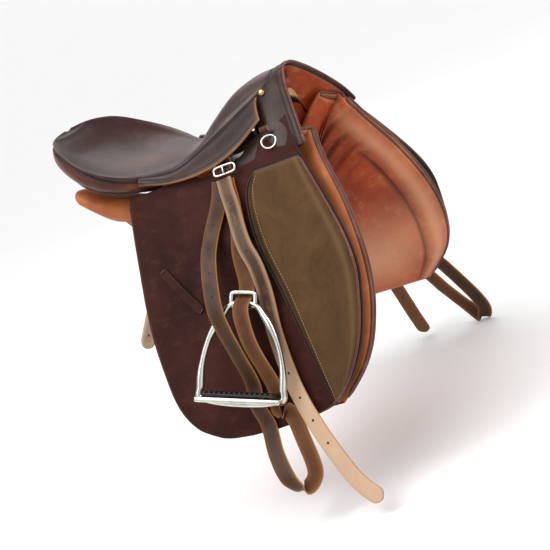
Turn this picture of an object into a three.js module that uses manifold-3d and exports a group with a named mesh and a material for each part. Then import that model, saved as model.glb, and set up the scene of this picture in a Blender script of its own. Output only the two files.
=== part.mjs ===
// English jumping saddle with its stirrups, in millimetres.
// +X runs forward to the pommel, +Y to the horse's left, +Z up, with the seat level.
// The origin is on the centreline, SEAT_HEIGHT below the lowest point of the seat.
import * as THREE from 'three';
import { mergeVertices } from 'three/addons/utils/BufferGeometryUtils.js';
import Module from 'manifold-3d';

const wasm = await Module();
wasm.setup();

// Driving dimensions.
const SEAT_HEIGHT = 120;
const COVER = 3;
const FOAM = 14;
const WEBBING = 2.2;
const GAP = 0.4;
const LAYER_GAP = 2.5;
const FLAP_THICK = 4.5;
const FOLD_Z = 84;
const SWEAT_OFFSET = -25;
const FRONT_DRAW = 16;
const PANEL_OFFSET = -29;
const STRAP_THICK = 3;
const STRAP_LAYERS = [-8.5, -14, -19.5];
const LEATHER_WIDTH = 25;
const BAR_Z = 101;
const BAR_Y = 112;
const IRON_HALF = 65;
const IRON_HEIGHT = 160;
const IRON_ROD = 5;
const EYE_HEIGHT = 147;
const EYE_HALF_HEIGHT = 8.6;
const TREAD_DEPTH = 36;

const COLOURS = {
  oxblood: 0x4a2420,
  flap: 0x54302a,
  suede: 0x6b5a40,
  tan: 0xb5673a,
  strap: 0x5e4128,
  steel: 0xc8c8c6,
  rubber: 0x1c1c1c,
  wood: 0xb08a5c,
  foam: 0xd8cfa8,
  web: 0xd5cdb8,
};
const METALS = ['steel'];

// Smooth single-valued curve through a few [t, value] stations.
function through(stations) {
  const slope = stations.map((p, i) => {
    const a = stations[Math.max(0, i - 1)];
    const b = stations[Math.min(stations.length - 1, i + 1)];
    return (b[1] - a[1]) / (b[0] - a[0]);
  });
  return (t) => {
    const last = stations.length - 1;
    const c = Math.min(Math.max(t, stations[0][0]), stations[last][0]);
    let i = 0;
    while (i < last - 1 && c > stations[i + 1][0]) {
      i += 1;
    }
    const [t0, y0] = stations[i];
    const [t1, y1] = stations[i + 1];
    const h = t1 - t0;
    const k = (c - t0) / h;
    const rise = y0 * (1 - k) ** 2 * (1 + 2 * k) + y1 * k * k * (3 - 2 * k);
    return rise + h * (slope[i] * k * (1 - k) ** 2 - slope[i + 1] * k * k * (1 - k));
  };
}

const mix = (a, b, t) => a + (b - a) * t;

// A box with nu, nv, nw divisions whose points are moved by place(u, v, w), w from -0.5 to 0.5.
function bend(nu, nv, nw, place) {
  const box = new THREE.BoxGeometry(1, 1, 1, nu, nv, nw);
  box.deleteAttribute('normal');
  box.deleteAttribute('uv');
  const solid = mergeVertices(box, 1e-5);
  const pos = solid.attributes.position;
  for (let i = 0; i < pos.count; i += 1) {
    const p = place(pos.getX(i) + 0.5, pos.getY(i) + 0.5, pos.getZ(i));
    pos.setXYZ(i, p[0], p[1], p[2]);
  }
  return outward(solid);
}

// Turns the faces outward where the placing has mirrored the box.
function outward(solid) {
  const pos = solid.attributes.position;
  const index = solid.index.array;
  const [a, b, c] = [new THREE.Vector3(), new THREE.Vector3(), new THREE.Vector3()];
  let volume = 0;
  for (let i = 0; i < index.length; i += 3) {
    a.fromBufferAttribute(pos, index[i]);
    b.fromBufferAttribute(pos, index[i + 1]);
    c.fromBufferAttribute(pos, index[i + 2]);
    volume += a.dot(b.cross(c));
  }
  if (volume < 0) {
    for (let i = 0; i < index.length; i += 3) {
      [index[i], index[i + 1]] = [index[i + 1], index[i]];
    }
  }
  return solid;
}

// Mirrors a left-hand solid for the right-hand side.
function sided(geometry, side) {
  if (side > 0) {
    return geometry;
  }
  const copy = geometry.clone();
  const pos = copy.attributes.position;
  for (let i = 0; i < pos.count; i += 1) {
    pos.setY(i, -pos.getY(i));
  }
  return outward(copy);
}

// The surface that the flap hangs on: y of the flap's middle at a place on the left side.
// Above the fold it draws in towards the pommel.
const sideY = (x, z) => 125 + 0.5 * (85 - z) - 0.00018 * (85 - z) ** 2
  - 0.002 * Math.max(0, z - 92) * Math.max(0, x - 100);

// A point standing off the side surface, along the surface's slope normal.
function onSide(x, z, off) {
  const rise = 0.5 - 0.00036 * (85 - z);
  const length = Math.hypot(1, rise);
  return [x, sideY(x, z) + off / length, z + off * rise / length];
}

// A hanging sheet between a rear and a front edge, with rows that close up towards the bottom.
function hangingSheet({ top, bottom, rear, front, off, thick, nu, nv }) {
  return bend(nu, nv, 1, (u, v, w) => {
    const drop = Math.sin((1 - v) * Math.PI / 2);
    const z = mix(top, bottom, drop);
    const x = mix(rear(z), front(z), u);
    return onSide(x, z, off(u, 1 - v) + w * thick(u, 1 - v));
  });
}

// A strap of even width along a smooth path; across gives its width direction.
function strap(points, across, width, thick, steps) {
  const curve = new THREE.CatmullRomCurve3(points.map((p) => new THREE.Vector3(...p)));
  return bend(1, steps, 1, (u, v, w) => {
    const p = curve.getPointAt(v);
    const t = curve.getTangentAt(v);
    const side = new THREE.Vector3(...across(v)).addScaledVector(t, -t.dot(new THREE.Vector3(...across(v))));
    side.normalize();
    const face = new THREE.Vector3().crossVectors(t, side);
    p.addScaledVector(side, (u - 0.5) * width).addScaledVector(face, w * thick);
    return [p.x, p.y, p.z];
  });
}

// A round ring along a closed path: path(angle) gives [centre, outward direction].
function ring(radius, tubeSides, steps, path, normal) {
  const torus = new THREE.TorusGeometry(4, 1, tubeSides, steps);
  torus.deleteAttribute('normal');
  torus.deleteAttribute('uv');
  const solid = mergeVertices(torus, 1e-4);
  const pos = solid.attributes.position;
  for (let i = 0; i < pos.count; i += 1) {
    const angle = Math.atan2(pos.getY(i), pos.getX(i));
    const reach = Math.hypot(pos.getX(i), pos.getY(i)) - 4;
    const height = pos.getZ(i);
    const { at, out } = path(angle);
    const p = at.clone().addScaledVector(out, reach * radius(angle)).addScaledVector(normal, height * radius(angle));
    pos.setXYZ(i, p.x, p.y, p.z);
  }
  return outward(solid);
}

function toManifold(geometry) {
  const bare = geometry.clone();
  bare.deleteAttribute('normal');
  bare.deleteAttribute('uv');
  const merged = mergeVertices(bare, 1e-4);
  return new wasm.Manifold(new wasm.Mesh({
    numProp: 3,
    vertProperties: new Float32Array(merged.attributes.position.array),
    triVerts: new Uint32Array(merged.index.array),
  }));
}

function fromManifold(solid) {
  const mesh = solid.getMesh();
  const geometry = new THREE.BufferGeometry();
  geometry.setAttribute('position', new THREE.BufferAttribute(mesh.vertProperties, 3));
  geometry.setIndex(new THREE.BufferAttribute(mesh.triVerts, 1));
  return geometry;
}

// ---- The seat ----
const SEAT_REAR = -205;
const SEAT_FRONT = 186;
const seatHalf = through([[SEAT_REAR, 8], [-202, 42], [-192, 76], [-172, 104], [-140, 126], [-107, 133], [-75, 124],
  [-45, 104], [0, 86], [60, 74], [120, 62], [165, 46], [180, 28], [SEAT_FRONT, 8]]);
const seatMiddle = through([[SEAT_REAR, 220], [-192, 204], [-172, 176], [-140, 150], [-107, 134], [-60, 122],
  [-15, SEAT_HEIGHT], [17, 124], [63, 156], [101, 178], [134, 188], [157, 191], [175, 190], [SEAT_FRONT, 186]]);
const seatEdge = through([[SEAT_REAR, 222], [-192, 216], [-172, 204], [-140, 178], [-107, 154], [-75, 134],
  [-40, 118], [0, 113], [60, 132], [120, 155], [168, 174], [SEAT_FRONT, 182]]);

function seatTop(x, s) {
  return seatMiddle(x) + (seatEdge(x) - seatMiddle(x)) * Math.abs(s) ** 2.4;
}

// A layer of the seat between two depths under its top, drawn in from the rim by inset.
function seatLayer(from, to, rear, front, inset, nu, nv) {
  return bend(nu, nv, 1, (u, v, w) => {
    const x = (rear + front) / 2 - (front - rear) / 2 * Math.cos(Math.PI * u);
    const s = Math.sin((v - 0.5) * Math.PI);
    const half = Math.max(4, seatHalf(x) - inset);
    return [x, s * half, seatTop(x, s * half / seatHalf(x)) - mix(to, from, w + 0.5)];
  });
}

// The rolled facing that hangs from the rim round the back of the seat.
const ROLL_START = -30;
function cantleRoll() {
  const depth = through([[SEAT_REAR, 46], [-160, 40], [-100, 24], [ROLL_START, 12]]);
  return bend(28, 3, 1, (u, v, w) => {
    const turn = Math.PI * (u - 0.5);
    const x = SEAT_REAR + (ROLL_START - SEAT_REAR) * (1 - Math.cos(turn));
    const y = Math.sign(turn) * seatHalf(x) * Math.min(1, Math.abs(turn) * 7);
    const drop = 1 - v;
    const bulge = 2.5 * Math.sin(Math.PI * drop) - 6 * drop + 3;
    const reach = 1 + (bulge + w * 4 - 2) / Math.hypot(Math.max(30, x * -0.6), y || 1);
    return [mix(x, x * reach, x < -120 ? 1 : 0), y * reach,
      seatEdge(x) - COVER - 6 - drop * depth(x)];
  });
}

// ---- The tree: wooden head and cantle joined by sprung steel rails ----
function headArch(x, halfAtFoot, top, thick, width) {
  const foot = 98;
  const path = [];
  for (let i = 0; i <= 8; i += 1) {
    const angle = Math.PI * (i / 8 - 0.5);
    path.push([x, halfAtFoot * Math.sin(angle), mix(foot, top, Math.cos(angle) ** 0.8)]);
  }
  return strap(path, () => [1, 0, 0], width, thick, 20);
}

function rail() {
  const path = [118, 60, 0, -60, -104].map((x) => {
    const s = 0.55;
    return [x, s * seatHalf(x), seatTop(x, s) - COVER - FOAM - WEBBING - 3 * LAYER_GAP - 6];
  });
  return strap(path, () => [0, 1, 0.1], 20, 3, 16);
}

// ---- Flap, knee pad, sweat flap ----
const flapRear = through([[-265, 40], [-262, 5], [-255, -18], [-238, -48], [-205, -71], [-152, -83], [-86, -90],
  [6, -87], [100, -82]]);
const flapFront = through([[-265, 84], [-262, 118], [-255, 168], [-247, 192], [-220, 222], [-172, 251], [-105, 269],
  [-71, 270], [-38, 264], [3, 251], [64, 228], [110, 210]]);
const padRear = through([[-243, 186], [-170, 166], [-90, 146], [-27, 127], [29, 123], [78, 133]]);

function flap() {
  return hangingSheet({
    top: FOLD_Z - 1.2, bottom: -265, rear: flapRear, front: flapFront,
    off: () => 0, thick: () => FLAP_THICK, nu: 10, nv: 12,
  });
}

// The fixed top of the flap, cut down where the stirrup bar stands out, and rising to the pommel.
const headTop = through([[-82, 97], [40, 97], [54, 90], [146, 90], [160, 112], [215, 136]]);
function flapHead() {
  return bend(18, 1, 1, (u, v, w) => {
    const x = mix(-80, 206, u);
    return onSide(x, mix(FOLD_Z + 2, headTop(x), v), w * FLAP_THICK);
  });
}

function kneePad() {
  const swell = (u, d) => 4 + 9 * Math.sin(Math.PI * u) ** 0.7 * Math.sin(Math.PI * Math.min(1, 0.05 + d)) ** 0.5;
  return hangingSheet({
    top: FOLD_Z - 8, bottom: -224, rear: padRear, front: (z) => flapFront(z) - 3,
    off: (u, d) => FLAP_THICK / 2 + GAP + swell(u, d) / 2, thick: swell, nu: 6, nv: 10,
  });
}

function sweatFlap() {
  return hangingSheet({
    top: 78, bottom: -258, rear: (z) => flapRear(z) + 8, front: (z) => flapFront(z) - 6,
    off: (u) => SWEAT_OFFSET + FRONT_DRAW * THREE.MathUtils.smoothstep(u, 0.6, 0.95), thick: () => 3, nu: 8, nv: 10,
  });
}

// ---- Skirt: the small flap over the stirrup bar ----
const skirtTop = through([[-60, 112], [0, 94], [60, 82], [120, 70], [160, 56]]);
const skirtTopZ = through([[-60, 121], [0, 107], [60, 124], [120, 147], [160, 165]]);
const skirtLow = through([[-60, 122], [6, 130], [70, 133], [120, 126], [160, 104]]);
const skirtLowZ = through([[-60, 113], [6, 99], [70, 99], [120, 113], [160, 138]]);

function skirt() {
  return bend(16, 5, 1, (u, v, w) => {
    const x = mix(-50, 160, u);
    const forward = 12 * u * u * (1 - v);
    const y = mix(skirtLow(x), skirtTop(x) + 1.5, v);
    const z = mix(skirtLowZ(x), skirtTopZ(x), v);
    const bow = 5 * Math.sin(Math.PI * v) + 2;
    return [x + forward, y + (bow + w * 3.6) * 0.6, z + (bow + w * 3.6) * 0.8];
  });
}

// ---- Panel: the stuffed cushion that lies on the horse ----
const cushion = through([[-180, 122], [-160, 106], [-140, 91], [-107, 76], [-60, 60], [-20, 48], [40, 38], [100, 42],
  [150, 58], [190, 86], [230, 104]]);
const innerY = through([[-190, 34], [120, 34], [170, 46], [215, 66]]);
const innerRise = through([[-190, 6], [-20, 6], [60, 12], [150, 20], [215, 34]]);
const panelReach = through([[-140, 70], [-70, 46], [0, 40]]);
const panelRear = through([[0, -162], [0.2, -180], [0.36, -178], [0.44, -146], [0.5, -92], [0.58, -80], [0.82, -78],
  [0.93, -52], [1, 10]]);
const panelFront = through([[0, 204], [0.2, 216], [0.36, 226], [0.5, 240], [0.62, 262], [0.74, 272], [0.84, 264],
  [0.93, 236], [1, 180]]);
const panelSwell = through([[0, 14], [0.12, 30], [0.3, 34], [0.5, 28], [0.8, 24], [1, 9]]);

function panelMiddle(x, d) {
  const base = cushion(x);
  const t = Math.min(1, d / 0.3);
  const inner = [innerY(x) + panelReach(x) * t, base + innerRise(x) * (1 - Math.sin(t * Math.PI / 2)) + 6 * t];
  const z = mix(base + 4, -254, Math.max(0, (d - 0.46) / 0.54));
  const drawn = FRONT_DRAW * THREE.MathUtils.smoothstep(x, 170, 250);
  const leg = onSide(x, z, PANEL_OFFSET + drawn - panelSwell(d) / 2 - 1);
  const k = THREE.MathUtils.smoothstep(d, 0.22, 0.5);
  return [x, mix(inner[0], leg[1], k), mix(inner[1], leg[2], k)];
}

function panel() {
  return bend(14, 16, 1, (u, v, w) => {
    const d = 1 - v;
    const x = mix(panelRear(d), panelFront(d), u);
    const p = panelMiddle(x, d);
    const q = panelMiddle(x, Math.min(1, d + 0.01));
    const r = panelMiddle(x, Math.max(0, d - 0.01));
    const along = [q[1] - r[1], q[2] - r[2]];
    const length = Math.hypot(...along) || 1;
    const rim = 0.45 + 0.55 * Math.sin(Math.PI * u) ** 0.4;
    const out = w * panelSwell(d) * rim;
    return [x, p[1] - along[1] / length * out, p[2] + along[0] / length * out];
  });
}

// The lining that joins the panels under the head of the tree.
function gulletLining() {
  const path = [];
  for (let i = 0; i <= 8; i += 1) {
    const angle = Math.PI * (i / 8 - 0.5);
    path.push([190, 58 * Math.sin(angle), mix(132, 168, Math.cos(angle))]);
  }
  return strap(path, () => [1, 0, -0.2], 34, 2.5, 16);
}

// ---- Pommel binding: the leather lapped round the front of the head ----
function pommelBinding() {
  const half = [[224, 122, 86], [219, 105, 112], [209, 77, 144], [198, 43, 174], [193, 14, 189]];
  const path = [...half, ...half.map(([x, y, z]) => [x, -y, z]).reverse()];
  return strap(path, () => [0.95, 0, 0.3], 12, 4, 30);
}

// ---- Girth straps and their webs ----
const STRAP_WIDTH = 25;
const STRAPS = [
  { name: 'front', top: [34, 52], tip: [-48, -206], layer: 0 },
  { name: 'middle', top: [4, 52], tip: [-72, -190], layer: 1 },
  { name: 'rear', top: [-34, 52], tip: [-118, -108], layer: 2 },
];

function girthStrap({ top, tip, layer }) {
  const path = [];
  for (let i = 0; i <= 6; i += 1) {
    const t = i / 6;
    path.push(onSide(mix(top[0], tip[0], t ** 1.15), mix(top[1], tip[1], t), STRAP_LAYERS[layer]));
  }
  return strap(path, () => [1, 0, 0], STRAP_WIDTH, STRAP_THICK, 12);
}

// The doubled web, riveted to the tree, that the three girth straps hang from.
function girthWeb() {
  return bend(2, 1, 1, (u, v, w) => onSide(mix(-54, 52, u), mix(58, 74, v), STRAP_LAYERS[1] + w * 14));
}

// ---- Stirrup bar, catch, dee and stud ----
function stirrupBar() {
  const path = [[142, 92, BAR_Z + 4], [134, 104, BAR_Z + 1], [122, 111, BAR_Z], [100, BAR_Y, BAR_Z], [74, BAR_Y, BAR_Z]];
  return strap(path, () => [0, 0.2, 1], 9, 5, 12);
}

function barCatch() {
  return bend(2, 3, 1, (u, v, w) => [mix(63.5, 70.5, v), BAR_Y + w * 4, BAR_Z + mix(-2.5, 2.5, u)]);
}

const DEE_AT = [176, 113.6, 118];
function deeRing() {
  const normal = new THREE.Vector3(0.25, 0.85, 0.45).normalize();
  const down = new THREE.Vector3(0, 0, -1).addScaledVector(normal, normal.z).normalize();
  const across = new THREE.Vector3().crossVectors(normal, down);
  const centre = new THREE.Vector3(...DEE_AT).addScaledVector(down, 11);
  return ring(() => 1.6, 8, 20, (angle) => {
    const flat = Math.sin(angle) < -0.2 ? 0.75 : 1;
    const out = new THREE.Vector3().addScaledVector(across, Math.cos(angle))
      .addScaledVector(down, Math.sin(angle));
    const at = centre.clone().addScaledVector(across, 11 * Math.cos(angle))
      .addScaledVector(down, 11 * flat * Math.sin(angle));
    return { at, out };
  }, normal);
}

function deeStaple() {
  return bend(1, 1, 1, (u, v, w) => [DEE_AT[0] - 7 + 14 * u, DEE_AT[1] - 3 + w * 3, DEE_AT[2] + 3 + 8 * v]);
}

function seatStud() {
  const head = new THREE.SphereGeometry(5, 12, 8);
  head.deleteAttribute('normal');
  head.deleteAttribute('uv');
  const solid = mergeVertices(head, 1e-4);
  solid.scale(1, 1, 0.5);
  solid.rotateX(-Math.PI * 0.36);
  solid.translate(168, 56, 170);
  return outward(solid);
}

// ---- Stirrup leather, buckle and iron ----
const IRON_BASE = new THREE.Vector3(55, 294.5, -204.5);
const IRON_ACROSS = new THREE.Vector3(0.958, 0.028, -0.284).normalize();
const IRON_UP = new THREE.Vector3(0.182, -0.415, 0.891);
IRON_UP.addScaledVector(IRON_ACROSS, -IRON_UP.dot(IRON_ACROSS)).normalize();
const IRON_OUT = new THREE.Vector3().crossVectors(IRON_UP, IRON_ACROSS);

// A point given in the iron's own frame: across, up from the tread, and outward from the horse.
function byIron(a, b, n) {
  const p = IRON_BASE.clone().addScaledVector(IRON_ACROSS, a).addScaledVector(IRON_UP, b).addScaledVector(IRON_OUT, n);
  return [p.x, p.y, p.z];
}

// The left stirrup hangs further forward than the right one, turned about its bar.
const HANG_PIVOT = new THREE.Vector3(98, 116, 100);
const HANG_AXIS = new THREE.Vector3(0, 0.9, 0.44).normalize();
const LEFT_HANG = THREE.MathUtils.degToRad(8.5);

function hang(point, hand) {
  if (hand === 'right') {
    return point;
  }
  const p = new THREE.Vector3(...point).sub(HANG_PIVOT).applyAxisAngle(HANG_AXIS, -LEFT_HANG).add(HANG_PIVOT);
  return [p.x, p.y, p.z];
}

function hung(geometry, hand) {
  const pos = geometry.attributes.position;
  for (let i = 0; i < pos.count; i += 1) {
    pos.setXYZ(i, ...hang([pos.getX(i), pos.getY(i), pos.getZ(i)], hand));
  }
  return geometry;
}

const ironHalf = through([[0, 65], [44, 64], [86, 53], [118, 34], [134, 19]]);

function ironBow() {
  const rows = [];
  for (let i = 0; i <= 9; i += 1) {
    rows.push([ironHalf(i * 15), i * 15 + 4]);
  }
  const outline = [...rows, ...rows.map(([a, b]) => [-a, b]).reverse()];
  const curve = new THREE.CatmullRomCurve3(outline.map(([a, b]) => new THREE.Vector3(a, b, 0)), true);
  const section = (t) => {
    const p = curve.getPointAt(t);
    return p.y < 8 && Math.abs(p.x) < 56 ? 3.2 : IRON_ROD;
  };
  return ring((angle) => section(((angle / (2 * Math.PI)) + 1) % 1), 6, 48, (angle) => {
    const t = ((angle / (2 * Math.PI)) + 1) % 1;
    const p = curve.getPointAt(t);
    const tan = curve.getTangentAt(t);
    return {
      at: new THREE.Vector3(...byIron(p.x, p.y, 0)),
      out: new THREE.Vector3().addScaledVector(IRON_ACROSS, tan.y).addScaledVector(IRON_UP, -tan.x),
    };
  }, IRON_OUT);
}

// The plate at the top of the bow, and the eye through it for the leather.
function eyePlate() {
  return bend(1, 1, 1, (u, v, w) => byIron(mix(-22, 22, u), mix(133, IRON_HEIGHT, v), w * 7));
}

function eyeHole() {
  return bend(1, 1, 1, (u, v, w) => byIron(mix(-16, 16, u), EYE_HEIGHT + mix(-1, 1, v) * EYE_HALF_HEIGHT, w * 14));
}

function treadBase() {
  return bend(1, 1, 1, (u, v, w) => byIron(mix(-IRON_HALF, IRON_HALF, u), mix(0, 6, v), w * TREAD_DEPTH));
}

function iron() {
  const bow = toManifold(ironBow()).add(toManifold(eyePlate())).subtract(toManifold(eyeHole()));
  return fromManifold(bow.add(toManifold(treadBase())));
}

function treadRubber() {
  return bend(1, 1, 1, (u, v, w) => byIron(mix(-56, 56, u), mix(8.5, 14, v), w * (TREAD_DEPTH - 4)));
}

// Each side's leather hangs from the bar, runs through the iron, and loops back up to the bar.
const LEATHER_RUN = {
  right: {
    down: [[83, 64, 8.5], [76, 46, 8.5], [56, 10, 11], [51, -24, 27]],
    front: [[-37, 128, 15], [-24, 100, 11], [-9, 66, -4], [8, 26, -21.8], [16, -4, -22.4]],
    loop: [[75, -256, 11], [82, -299, 22], [97, -334, 31], [112, -350, 22], [129, -336, 14], [125, -290, 11],
      [113, -246, 10.5]],
    back: [[50, -9, -23], [45, 17, -22.3], [33, 42, -15], [15, 82, 5], [3, 122, 13], [0, 138, 9], [0, EYE_HEIGHT, 0],
      [0, 155, -9], [-2, 170, -15]],
    up: [[93, -24, 7], [97, 4, 4.4], [98, 40, 4.2], [96, 66, 4.2]],
  },
  left: {
    down: [[83, 61, 13.5], [76, 42, 13.5], [56, 10, 15], [51, -24, 27]],
    front: [[-37, 128, 15], [-24, 100, 11], [-9, 66, -4], [8, 26, -21.2], [16, -4, -21.2]],
    loop: [[88, -256, 14], [96, -330, 24], [107, -388, 30], [122, -410, 22], [138, -390, 17], [136, -320, 14],
      [119, -244, 12]],
    back: [[50, -9, -23], [45, 17, -22.3], [33, 42, -15], [15, 82, 5], [3, 122, 13], [0, 138, 9], [0, EYE_HEIGHT, 0],
      [0, 155, -9], [-2, 170, -15]],
    up: [[93, -24, 11], [97, 4, 9], [98, 40, 9], [96, 62, 9]],
  },
};
const TAIL_RUN = {
  right: [[98, 60, 14], [101, 39, 14], [108, -16, 17], [121, -50, 20], [124, -84, 16], [121, -140, 9], [131, -211, 11],
    [147, -262, 13], [172, -317, 16], [196, -359, 18], [224, -385, 22]],
  left: [[98, 66, 4.2], [99, 30, 4.2], [98, -60, 4.2], [96, -160, 4.2], [94, -240, 5], [92, -297, 10], [90, -348, 14],
    [89, -400, 20]],
};

function leather(hand) {
  const run = LEATHER_RUN[hand];
  const path = [
    ...run.down.map((p) => onSide(...p)),
    ...run.front.map((p) => byIron(...p)),
    ...run.loop.map((p) => onSide(...p)),
    ...run.back.map((p) => byIron(...p)),
    ...run.up.map((p) => onSide(...p)),
  ];
  return hung(strap(path, () => [0.96, 0.1, -0.26], LEATHER_WIDTH, STRAP_THICK, 84), hand);
}

function leatherTail(hand) {
  return strap(TAIL_RUN[hand].map((p) => onSide(...p)), () => [1, 0, 0], LEATHER_WIDTH, STRAP_THICK, 26);
}

// The short turn of leather over the bar, which stays with the tree.
function leatherTop() {
  const x = 96;
  const path = [[x, BAR_Y - 5.5, 91], [x, BAR_Y - 5.5, BAR_Z], [x, BAR_Y - 5, BAR_Z + 6.5], [x, BAR_Y, BAR_Z + 9]];
  path.push([x, BAR_Y + 5, BAR_Z + 6.5], [x, BAR_Y + 6.6, BAR_Z], onSide(x, 93, 6), onSide(x, 88, 6.5));
  return strap(path, () => [1, 0, 0], LEATHER_WIDTH, STRAP_THICK, 20);
}

const BUCKLE_AT = [100, 88, 12];
function leatherBuckle() {
  const centre = new THREE.Vector3(...onSide(...BUCKLE_AT));
  const normal = new THREE.Vector3(0, 0.9, 0.44).normalize();
  const along = new THREE.Vector3(1, 0, 0);
  const up = new THREE.Vector3().crossVectors(along, normal).negate();
  return ring(() => 1.8, 8, 24, (angle) => {
    const c = Math.cos(angle);
    const s = Math.sin(angle);
    const a = Math.sign(c) * Math.abs(c) ** 0.5 * 18;
    const b = Math.sign(s) * Math.abs(s) ** 0.5 * 6.5;
    return {
      at: centre.clone().addScaledVector(along, a).addScaledVector(up, b),
      out: new THREE.Vector3().addScaledVector(along, c).addScaledVector(up, s),
    };
  }, normal);
}

function buckleTongue() {
  const [x, z, off] = BUCKLE_AT;
  return bend(1, 3, 1, (u, v, w) => onSide(x - 1.5 + 3 * u, z - 7 + 14 * v, off + 4.2 + w * 2.4));
}

// The keeper strip stitched to the flap, that holds the end of a girth strap or leather.
function flapKeeper() {
  const path = [];
  for (let i = 0; i <= 5; i += 1) {
    const t = i / 5;
    path.push(onSide(mix(-44, 8, t), mix(-16, -84, t), FLAP_THICK / 2 + 2 + 3 * Math.sin(Math.PI * t)));
  }
  return strap(path, () => [0.84, -0.24, 0.49], 13, 2.4, 10);
}

// ---- Assembly ----
const saddle = new THREE.Group();

function place(name, geometry, colour) {
  geometry.computeVertexNormals();
  const metal = METALS.includes(colour);
  const material = new THREE.MeshStandardMaterial({
    color: COLOURS[colour],
    roughness: metal ? 0.25 : 0.7,
    metalness: metal ? 1 : 0,
  });
  const mesh = new THREE.Mesh(geometry, material);
  mesh.name = name;
  saddle.add(mesh);
}

const FOAM_TOP = COVER + LAYER_GAP;
const WEB_TOP = FOAM_TOP + FOAM + LAYER_GAP;
const BOARD_TOP = WEB_TOP + WEBBING + LAYER_GAP;
place('seat_cover', seatLayer(0, COVER, SEAT_REAR, SEAT_FRONT, 0, 22, 12), 'oxblood');
place('seat_foam', seatLayer(FOAM_TOP, FOAM_TOP + FOAM, -186, 140, 16, 14, 8), 'foam');
place('seat_webbing', seatLayer(WEB_TOP, WEB_TOP + WEBBING, -168, 126, 26, 12, 6), 'web');
place('cantle_board', seatLayer(BOARD_TOP, BOARD_TOP + 11, -172, -112, 30, 6, 8), 'wood');
place('cantle_roll', cantleRoll(), 'oxblood');
place('head_arch', headArch(158, 74, 150, 12, 28), 'wood');
place('head_plate', headArch(158, 82, 161, 3, 24), 'steel');
place('gullet_plate', headArch(158, 66, 139, 3, 24), 'steel');
place('gullet_lining', gulletLining(), 'tan');
place('pommel_binding', pommelBinding(), 'oxblood');

for (const side of [1, -1]) {
  const hand = side > 0 ? 'left' : 'right';
  const add = (name, geometry, colour) => place(`${name}_${hand}`, sided(geometry, side), colour);
  add('tree_rail', rail(), 'steel');
  add('flap_head', flapHead(), 'flap');
  add('flap', flap(), 'flap');
  add('knee_pad', kneePad(), 'suede');
  add('flap_keeper', flapKeeper(), 'oxblood');
  add('skirt', skirt(), 'oxblood');
  add('sweat_flap', sweatFlap(), 'tan');
  add('panel', panel(), 'tan');
  add('stirrup_bar', stirrupBar(), 'steel');
  add('bar_catch', barCatch(), 'steel');
  add('dee_ring', deeRing(), 'steel');
  add('dee_staple', deeStaple(), 'strap');
  add('seat_stud', seatStud(), 'steel');
  for (const strapSpec of STRAPS) {
    add(`girth_strap_${strapSpec.name}`, girthStrap(strapSpec), 'strap');
  }
  add('girth_web', girthWeb(), 'web');
  add('leather_top', leatherTop(), 'strap');
  add('leather_buckle', leatherBuckle(), 'steel');
  add('buckle_tongue', buckleTongue(), 'steel');
  add('stirrup_leather', leather(hand), 'strap');
  add('leather_tail', leatherTail(hand), 'strap');
  add('stirrup_iron', hung(iron(), hand), 'steel');
  add('tread_rubber', hung(treadRubber(), hand), 'rubber');
}

export default saddle;
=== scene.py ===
"""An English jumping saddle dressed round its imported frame.

Shapes are worked out in millimetres in the row frame and turned into metres when a mesh is made.
Every left-hand piece is built once and mirrored for the right, except the stirrups, which hang differently.
"""
import math

import bmesh
import bpy
import numpy as np
from mathutils import Matrix, Vector

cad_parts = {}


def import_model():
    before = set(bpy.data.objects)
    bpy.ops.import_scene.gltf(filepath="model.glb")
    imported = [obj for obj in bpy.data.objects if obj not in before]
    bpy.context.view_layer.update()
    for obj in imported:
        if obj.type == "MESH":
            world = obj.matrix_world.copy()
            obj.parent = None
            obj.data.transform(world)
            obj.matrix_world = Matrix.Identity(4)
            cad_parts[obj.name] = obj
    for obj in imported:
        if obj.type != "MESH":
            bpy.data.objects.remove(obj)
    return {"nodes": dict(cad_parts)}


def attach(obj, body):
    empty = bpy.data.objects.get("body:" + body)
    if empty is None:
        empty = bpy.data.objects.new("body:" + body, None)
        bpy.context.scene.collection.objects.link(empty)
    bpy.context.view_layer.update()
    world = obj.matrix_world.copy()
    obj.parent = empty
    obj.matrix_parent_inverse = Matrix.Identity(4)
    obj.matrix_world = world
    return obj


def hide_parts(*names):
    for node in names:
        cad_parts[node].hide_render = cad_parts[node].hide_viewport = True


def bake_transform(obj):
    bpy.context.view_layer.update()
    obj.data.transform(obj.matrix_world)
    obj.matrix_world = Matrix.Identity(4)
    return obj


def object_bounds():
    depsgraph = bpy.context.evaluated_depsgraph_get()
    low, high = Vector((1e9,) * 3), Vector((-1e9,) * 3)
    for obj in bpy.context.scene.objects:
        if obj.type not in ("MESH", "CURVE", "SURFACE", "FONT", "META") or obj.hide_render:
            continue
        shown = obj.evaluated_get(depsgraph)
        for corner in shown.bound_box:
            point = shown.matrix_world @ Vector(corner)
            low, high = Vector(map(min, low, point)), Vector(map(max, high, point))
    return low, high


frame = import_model()
cad_low, cad_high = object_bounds()
MM = 0.001

# Driving dimensions, in millimetres, as the frame has them.
SEAT_REAR, SEAT_FRONT, SEAT_HEIGHT = -205, 186, 120
ROLL_START = -30
FLAP_THICK = 4.5
FOLD_Z = 84
SWEAT_OFFSET, PANEL_OFFSET, FRONT_DRAW = -25, -29, 16
STRAP_THICK, LEATHER_WIDTH = 3, 25
STRAP_LAYERS = (-8.5, -14, -19.5)
BAR_Z, BAR_Y = 101, 112
EYE_HEIGHT = 147
TREAD_DEPTH = 36
FLOOR_GAP = 3


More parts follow.
